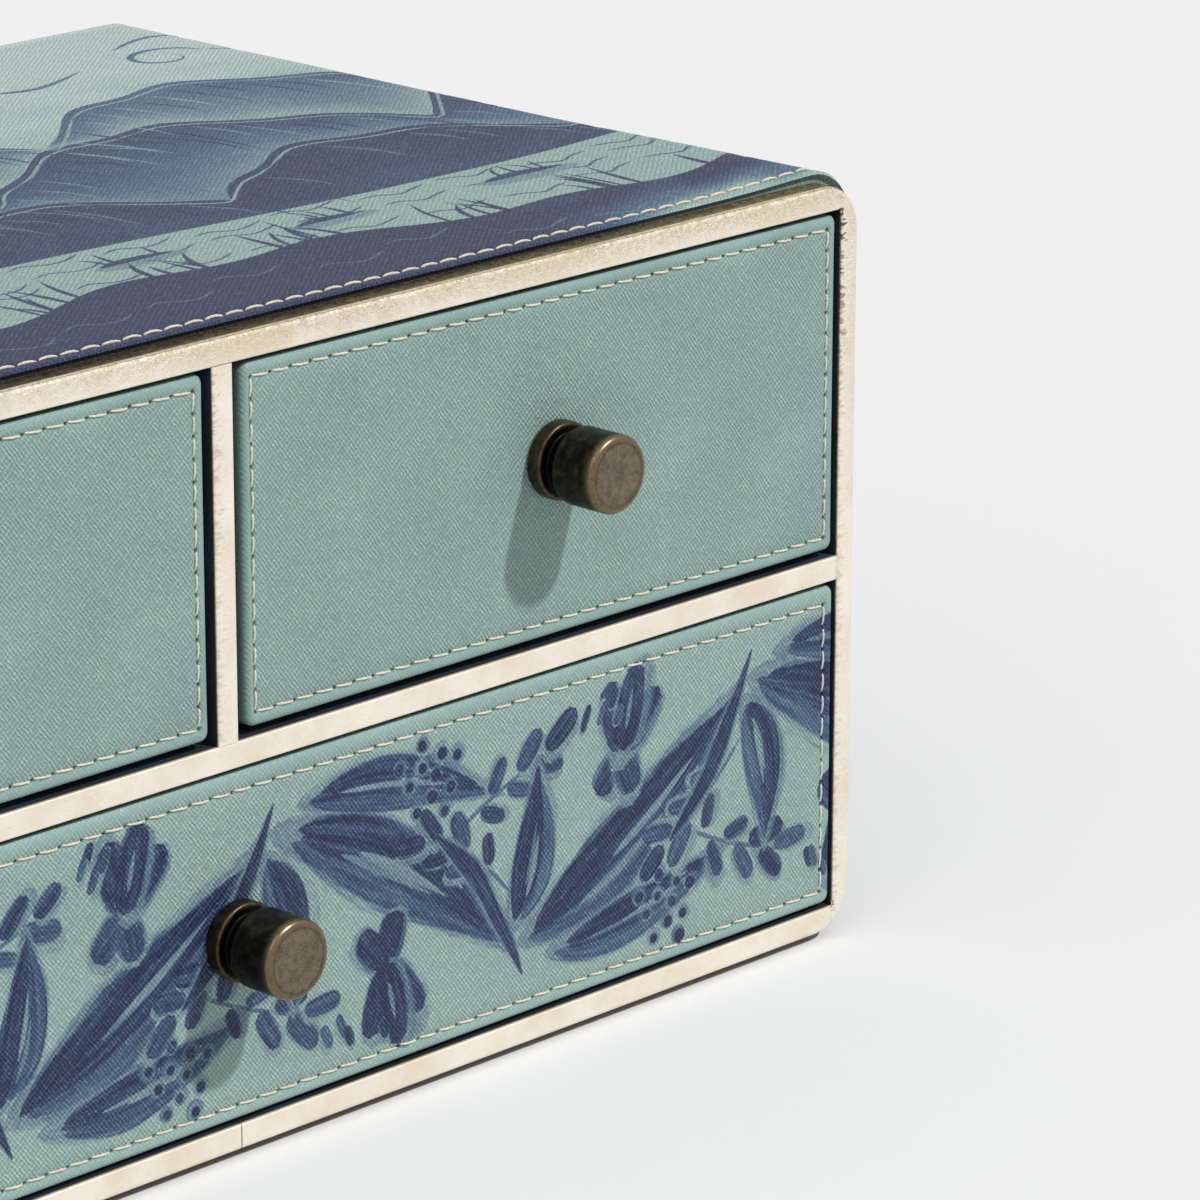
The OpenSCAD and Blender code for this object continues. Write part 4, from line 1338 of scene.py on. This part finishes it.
cover_marks, cover_outlines = river_and_hills()
print("the cover's print has", len(cover_marks), "strokes")

# %% [markdown]
# ## The cover's mesh
#
# The flat drawing is filled between its folds, the seam, the print's outlines and the needle holes, and
# bent over the case. A closed mesh is easier to light and to bake, so the inside that is glued to the
# boards joins the two folds, and each end has its face.

# %% Cut and bend the cover
# The fold's underside is darkened as painted shade, which these place and bound.
GAP_LATER, GAP_WAY, GAP_DARK = 0.5, 45, 0.85    # mm further round the fold, over what way; how dark


def cover_hide():
    """The cover's closed mesh: its outer hide, folded edges and the flat inside that is glued down."""
    v_low, v_high = -fold_arc - COVER_RETURN, v_back + fold_arc + COVER_RETURN
    columns = []
    for start, end, step in ((0, half_top, COVER_GRID), (half_top, half_top + arc, 1.6),
                             (half_top + arc, half_top + arc + side_run, COVER_GRID),
                             (half_top + arc + side_run, half_round, 1.6)):
        count = max(1, round((end - start) / step))
        columns += [start + (end - start) * k / count for k in range(count)]
    columns = [-half_round] + [-s for s in reversed(columns[1:])] + columns + [half_round]
    rim = [(s, v_low) for s in columns] + [(s, v_high) for s in reversed(columns)]
    lines = [(rim, True)]
    for bend in (-90, -60, -30, 0, 30, 60, 90):
        v = COVER_FOLD * math.radians(bend)
        lines += [([(s, v) for s in columns], False), ([(s, v_back - v) for s in columns], False)]
    for off in (-1.1, -0.6, -0.3, 0.3, 0.6, 1.1):
        lines.append(([(s, COVER_SEAM_V + off) for s in columns], False))
    lines += [(outline, False) for outline in cover_outlines]
    points = hole_points(cover_holes)
    v = COVER_SEAM_V + 3
    while v < v_back - 3:
        points += [(s, v) for s in columns[1:-1]]
        v += COVER_GRID

    def fold_gap_shade(s, v):
        """How much painted shade darkens the fold's underside. It begins further round at the right end,
        which stands up.
        """
        later = GAP_LATER * clamped((s - half_top + GAP_WAY) / GAP_WAY)
        return min(GAP_DARK, clamped((-v - later) / fold_arc))
    fields = {"painted_shade": lambda s, v: max(clamped(1.3 * close_to_cover_hole(s, v)), fold_gap_shade(s, v))}
    mesh = cut_hide("cover", lines, points, cover_marks,
                    lambda s, v: abs(s) < half_round and v_low < v < v_high, cover_place, fields,
                    river_wash)
    close_cover(mesh, v_low, v_high)
    return mesh


def close_cover(mesh, v_low, v_high):
    """Joins the two folded edges by the inside that is glued to the boards, and closes both ends."""
    bm = bmesh.new()
    bm.from_mesh(mesh)
    uv = bm.loops.layers.uv["flat_hide"]
    flat = {}
    for edge in bm.edges:
        if edge.is_boundary:
            for vert in edge.verts:
                flat[vert] = vert.link_loops[0][uv].uv.copy()
    front, back = (sorted((v for v in flat if abs(flat[v].y - rim) < 1e-3), key=lambda v: flat[v].x)
                   for rim in (v_low, v_high))
    for a, b, c, d in zip(front, front[1:], back, back[1:]):
        bm.faces.new((a, b, d, c))
    for end in (-half_round, half_round):
        edge_verts = sorted((v for v in flat if abs(flat[v].x - end) < 1e-3), key=lambda v: flat[v].y)
        bm.faces.new(edge_verts)
    bm.to_mesh(mesh)
    bm.free()
    turn_outwards(mesh, smooth_below=50)
    print("front and back edges have", len(front), "and", len(back), "points")


cover_mesh = cover_hide()
show("cover", cover_mesh, PRINTED_HIDE, "case", "cover_leatherette", "cover_wrap")
cover_stitches = topstitch("cover_seam", cover_holes, partial(cover_place, dent=0.0), False, 77,
                           slant=0.24, thick=0.62)
show("cover_seam", cover_stitches, THREAD, "case", "cover_leatherette")
print("cover:", len(cover_mesh.polygons), "faces")

# %% [markdown]
# ## Knobs
#
# A knob is turned from bar: a thin foot, a narrow neck and a plain drum with a softened rim. A lathe
# shape is a profile carried round an axis, and the profile's corners are small arcs, because light only
# catches an edge that has some width. Each point also keeps how exposed it is, for the wear.

# %% Turn the knobs
KNOB_SIDES = 128
KNOB_FOOT = 3.0         # mm long
KNOB_NECK = 2.9         # mm long
KNOB_NECK_ACROSS = 10.0     # mm
KNOB_RIM = 1.0          # mm, radius of the head's front rim
KNOB_EDGE = 0.5         # mm, radius of the other edges
KNOB_FILLET = 0.4       # mm, radius at both ends of the neck
KNOB_WASH = 0.9         # mm in from the edge, where the dark wash has stayed in the groove


def knob_profile(radius, length):
    """(distance from the drawer's face, radius, wear, flat end) along the knob, back to front."""
    neck, foot_end, head_start = KNOB_NECK_ACROSS / 2, KNOB_FOOT, KNOB_FOOT + KNOB_NECK
    edge, fillet = radius - KNOB_EDGE, neck + KNOB_FILLET
    profile = [(0.0, 0.0, 0.0, 0.0), (0.0, edge, 0.0, 0.0)]

    def bend(at, out, r, start, end, wear, steps=5):
        """Adds a small arc to the profile."""
        for k in range(steps + 1):
            a = math.radians(start + (end - start) * k / steps)
            profile.append((at + r * math.sin(a), out + r * math.cos(a), wear, 0.0))
    bend(KNOB_EDGE, edge, KNOB_EDGE, -90, 0, 0.4)
    bend(foot_end - KNOB_EDGE, edge, KNOB_EDGE, 0, 90, 0.5)
    profile.append((foot_end, radius - KNOB_WASH, -1.0, 0.0))
    bend(foot_end + KNOB_FILLET, fillet, KNOB_FILLET, 270, 180, -1.5, 3)
    bend(head_start - KNOB_FILLET, fillet, KNOB_FILLET, 180, 90, -1.5, 3)
    profile.append((head_start, radius - KNOB_WASH, -1.0, 0.0))
    bend(head_start + KNOB_EDGE, edge, KNOB_EDGE, -90, 0, 0.4)
    drum = length - head_start - KNOB_EDGE - KNOB_RIM
    profile += [(head_start + KNOB_EDGE + drum * k / 6, radius, 0.08, 0.0) for k in range(1, 6)]
    bend(length - KNOB_RIM, radius - KNOB_RIM, KNOB_RIM, 0, 90, 0.8, 8)
    profile += [(length, (radius - KNOB_RIM) * (1 - k / 8), 0.15, 1.0) for k in range(1, 9)]
    return profile


def turned_knob(drawer):
    """One knob's closed lathe mesh, at the place and size of its CAD node."""
    low, high = knob_boxes[drawer]
    radius, length = (high.x - low.x) / 2, high.y - low.y
    mid_x, mid_z = (high.x + low.x) / 2, (high.z + low.z) / 2
    profile = knob_profile(radius, length)
    verts, wear, ends, faces, map_uv = [], [], [], [], []
    run = [0.0]
    for a, b in zip(profile, profile[1:]):
        run.append(run[-1] + math.hypot(b[0] - a[0], b[1] - a[1]))
    for y, r, exposed, flat_end in profile:
        for k in range(KNOB_SIDES if r > 0 else 1):
            a = 2 * math.pi * k / KNOB_SIDES
            verts.append(Vector((mid_x + r * math.cos(a), high.y - y, mid_z + r * math.sin(a))) * MM)
            wear.append(exposed)
            ends.append(flat_end)
    first, last, turn = 0, len(verts) - 1, 2 * math.pi * radius / KNOB_SIDES
    for ring in range(len(profile) - 1):
        base = 1 + (ring - 1) * KNOB_SIDES
        for k in range(KNOB_SIDES):
            n = (k + 1) % KNOB_SIDES
            left, right = k * turn, (k + 1) * turn
            if ring == 0:
                faces.append((first, 1 + k, 1 + n))
                map_uv += (left, run[0], left, run[1], right, run[1])
            elif ring == len(profile) - 2:
                faces.append((base + k, last, base + n))
                map_uv += (left, run[ring], left, run[ring + 1], right, run[ring])
            else:
                faces.append((base + k, base + KNOB_SIDES + k, base + KNOB_SIDES + n, base + n))
                map_uv += (left, run[ring], left, run[ring + 1], right, run[ring + 1], right, run[ring])
    mesh = bpy.data.meshes.new(f"{drawer}_turned_knob")
    mesh.from_pydata(verts, [], faces)
    mesh.uv_layers.new(name="turned").data.foreach_set("uv", map_uv)
    for field, values in (("rubbed", wear), ("flat_end", ends)):
        mesh.attributes.new(field, "FLOAT", "POINT").data.foreach_set("value", values)
    turn_outwards(mesh, smooth_below=50)
    return mesh


for drawer in DRAWERS:
    show(f"{drawer}_turned_knob", turned_knob(drawer), BRASS, f"{drawer}_drawer", "aged_brass",
         f"{drawer}_knob")
print("three knobs of", KNOB_SIDES, "sides")

# %% [markdown]
# ## Floor and light
#
# The floor is a plain pale plane, large enough to fill the view. The light is plain: one soft sun from
# the front right and a quiet sky. Mirrors such as the brass see the same pale background as the camera
# does.


# %% Stage
FLOOR_HALF = 12     # m
SUNS = (("studio key", (0.36, -1.0, 1.25), 2.75, 3.0),      # towards the light, its strength, its width
        ("studio side", (-0.9, -0.5, 1.0), 0.35, 40.0))     # wide and weak, so that shade keeps its grain
SKY = 0.43


def pale_floor():
    """Matt painted board. Its own colour makes it nearly white, not extra light."""
    material, add = blank_material("matt white board", "#e9e9e9")
    place = add("TexCoord", out="Object")
    speck = add("TexNoise", {"Vector": place, "Scale": 3.0, "Detail": 2.0})
    colour = add("ValToRGB", {"Fac": speck}, stops=((0.3, "#dddddd"), (0.7, "#e0e0e0")))
    add("OutputMaterial", {"Surface": add("BsdfPrincipled", {"Base Color": colour, "Roughness": 0.9,
                                                             "Specular IOR Level": 0.1})})
    return material


floor_mesh = bpy.data.meshes.new("floor")
floor_corners = [(x * FLOOR_HALF, y * FLOOR_HALF, 0) for x, y in ((-1, -1), (1, -1), (1, 1), (-1, 1))]
floor_mesh.from_pydata(floor_corners, [], [(0, 1, 2, 3)])
floor = bpy.data.objects.new("floor", floor_mesh)
scene.collection.objects.link(floor)
floor_mesh.materials.append(pale_floor())

for name, light_from, energy, degrees in SUNS:
    sun_data = bpy.data.lights.new(name, "SUN")
    sun_data.energy = energy
    sun_data.angle = math.radians(degrees)
    sun = bpy.data.objects.new(name, sun_data)
    sun.rotation_euler = Vector(light_from).to_track_quat("Z", "Y").to_euler()
    scene.collection.objects.link(sun)

world = bpy.data.worlds.new("studio fill")
world.use_nodes = True
world.node_tree.nodes.clear()
add = partial(add_to, world.node_tree)
seen = add("LightPath", out="Is Camera Ray")
paths = seen.node.outputs
for ray in ("Is Glossy Ray", "Is Transmission Ray"):
    seen = add("Math", (seen, paths[ray]), operation="MAXIMUM")
fill = add("Background", {"Color": (1.0, 1.0, 1.0, 1.0), "Strength": SKY})
backdrop = add("Background", {"Color": linear("#efefef"), "Strength": 1.0})
add("OutputWorld", {"Surface": add("MixShader", (seen, fill, backdrop))})
scene.world = world
print("sky strength", SKY)

# %% [markdown]
# ## Camera
#
# It looks down a little from the front left, and its long lens keeps the box's edges nearly parallel.

# %% Camera
CAMERA_AT = Vector((-0.6240, -0.77545, 0.3867))
AZIMUTH, ELEVATION, ROLL = math.radians(45.94), math.radians(17.312), math.radians(0.09)
LENS = 180.27       # mm, on a sensor of 36 mm

ahead = Vector((math.sin(AZIMUTH) * math.cos(ELEVATION), math.cos(AZIMUTH) * math.cos(ELEVATION),
                -math.sin(ELEVATION)))
level = ahead.cross(Vector((0, 0, 1))).normalized()
upright = level.cross(ahead)
right = level * math.cos(ROLL) + upright * math.sin(ROLL)
up = upright * math.cos(ROLL) - level * math.sin(ROLL)
camera_data = bpy.data.cameras.new("camera")
camera_data.lens = LENS
camera_data.sensor_width = 36.0
camera_data.sensor_fit = "HORIZONTAL"
camera_data.clip_start = 0.01
camera_data.clip_end = 50.0
camera = bpy.data.objects.new("camera", camera_data)
camera.matrix_world = Matrix((right, up, -ahead)).transposed().to_4x4()
camera.matrix_world.translation = CAMERA_AT
scene.collection.objects.link(camera)
bpy.context.scene.camera = camera
scene.view_settings.view_transform = "Standard"
print("camera looks along", [round(v, 3) for v in ahead])
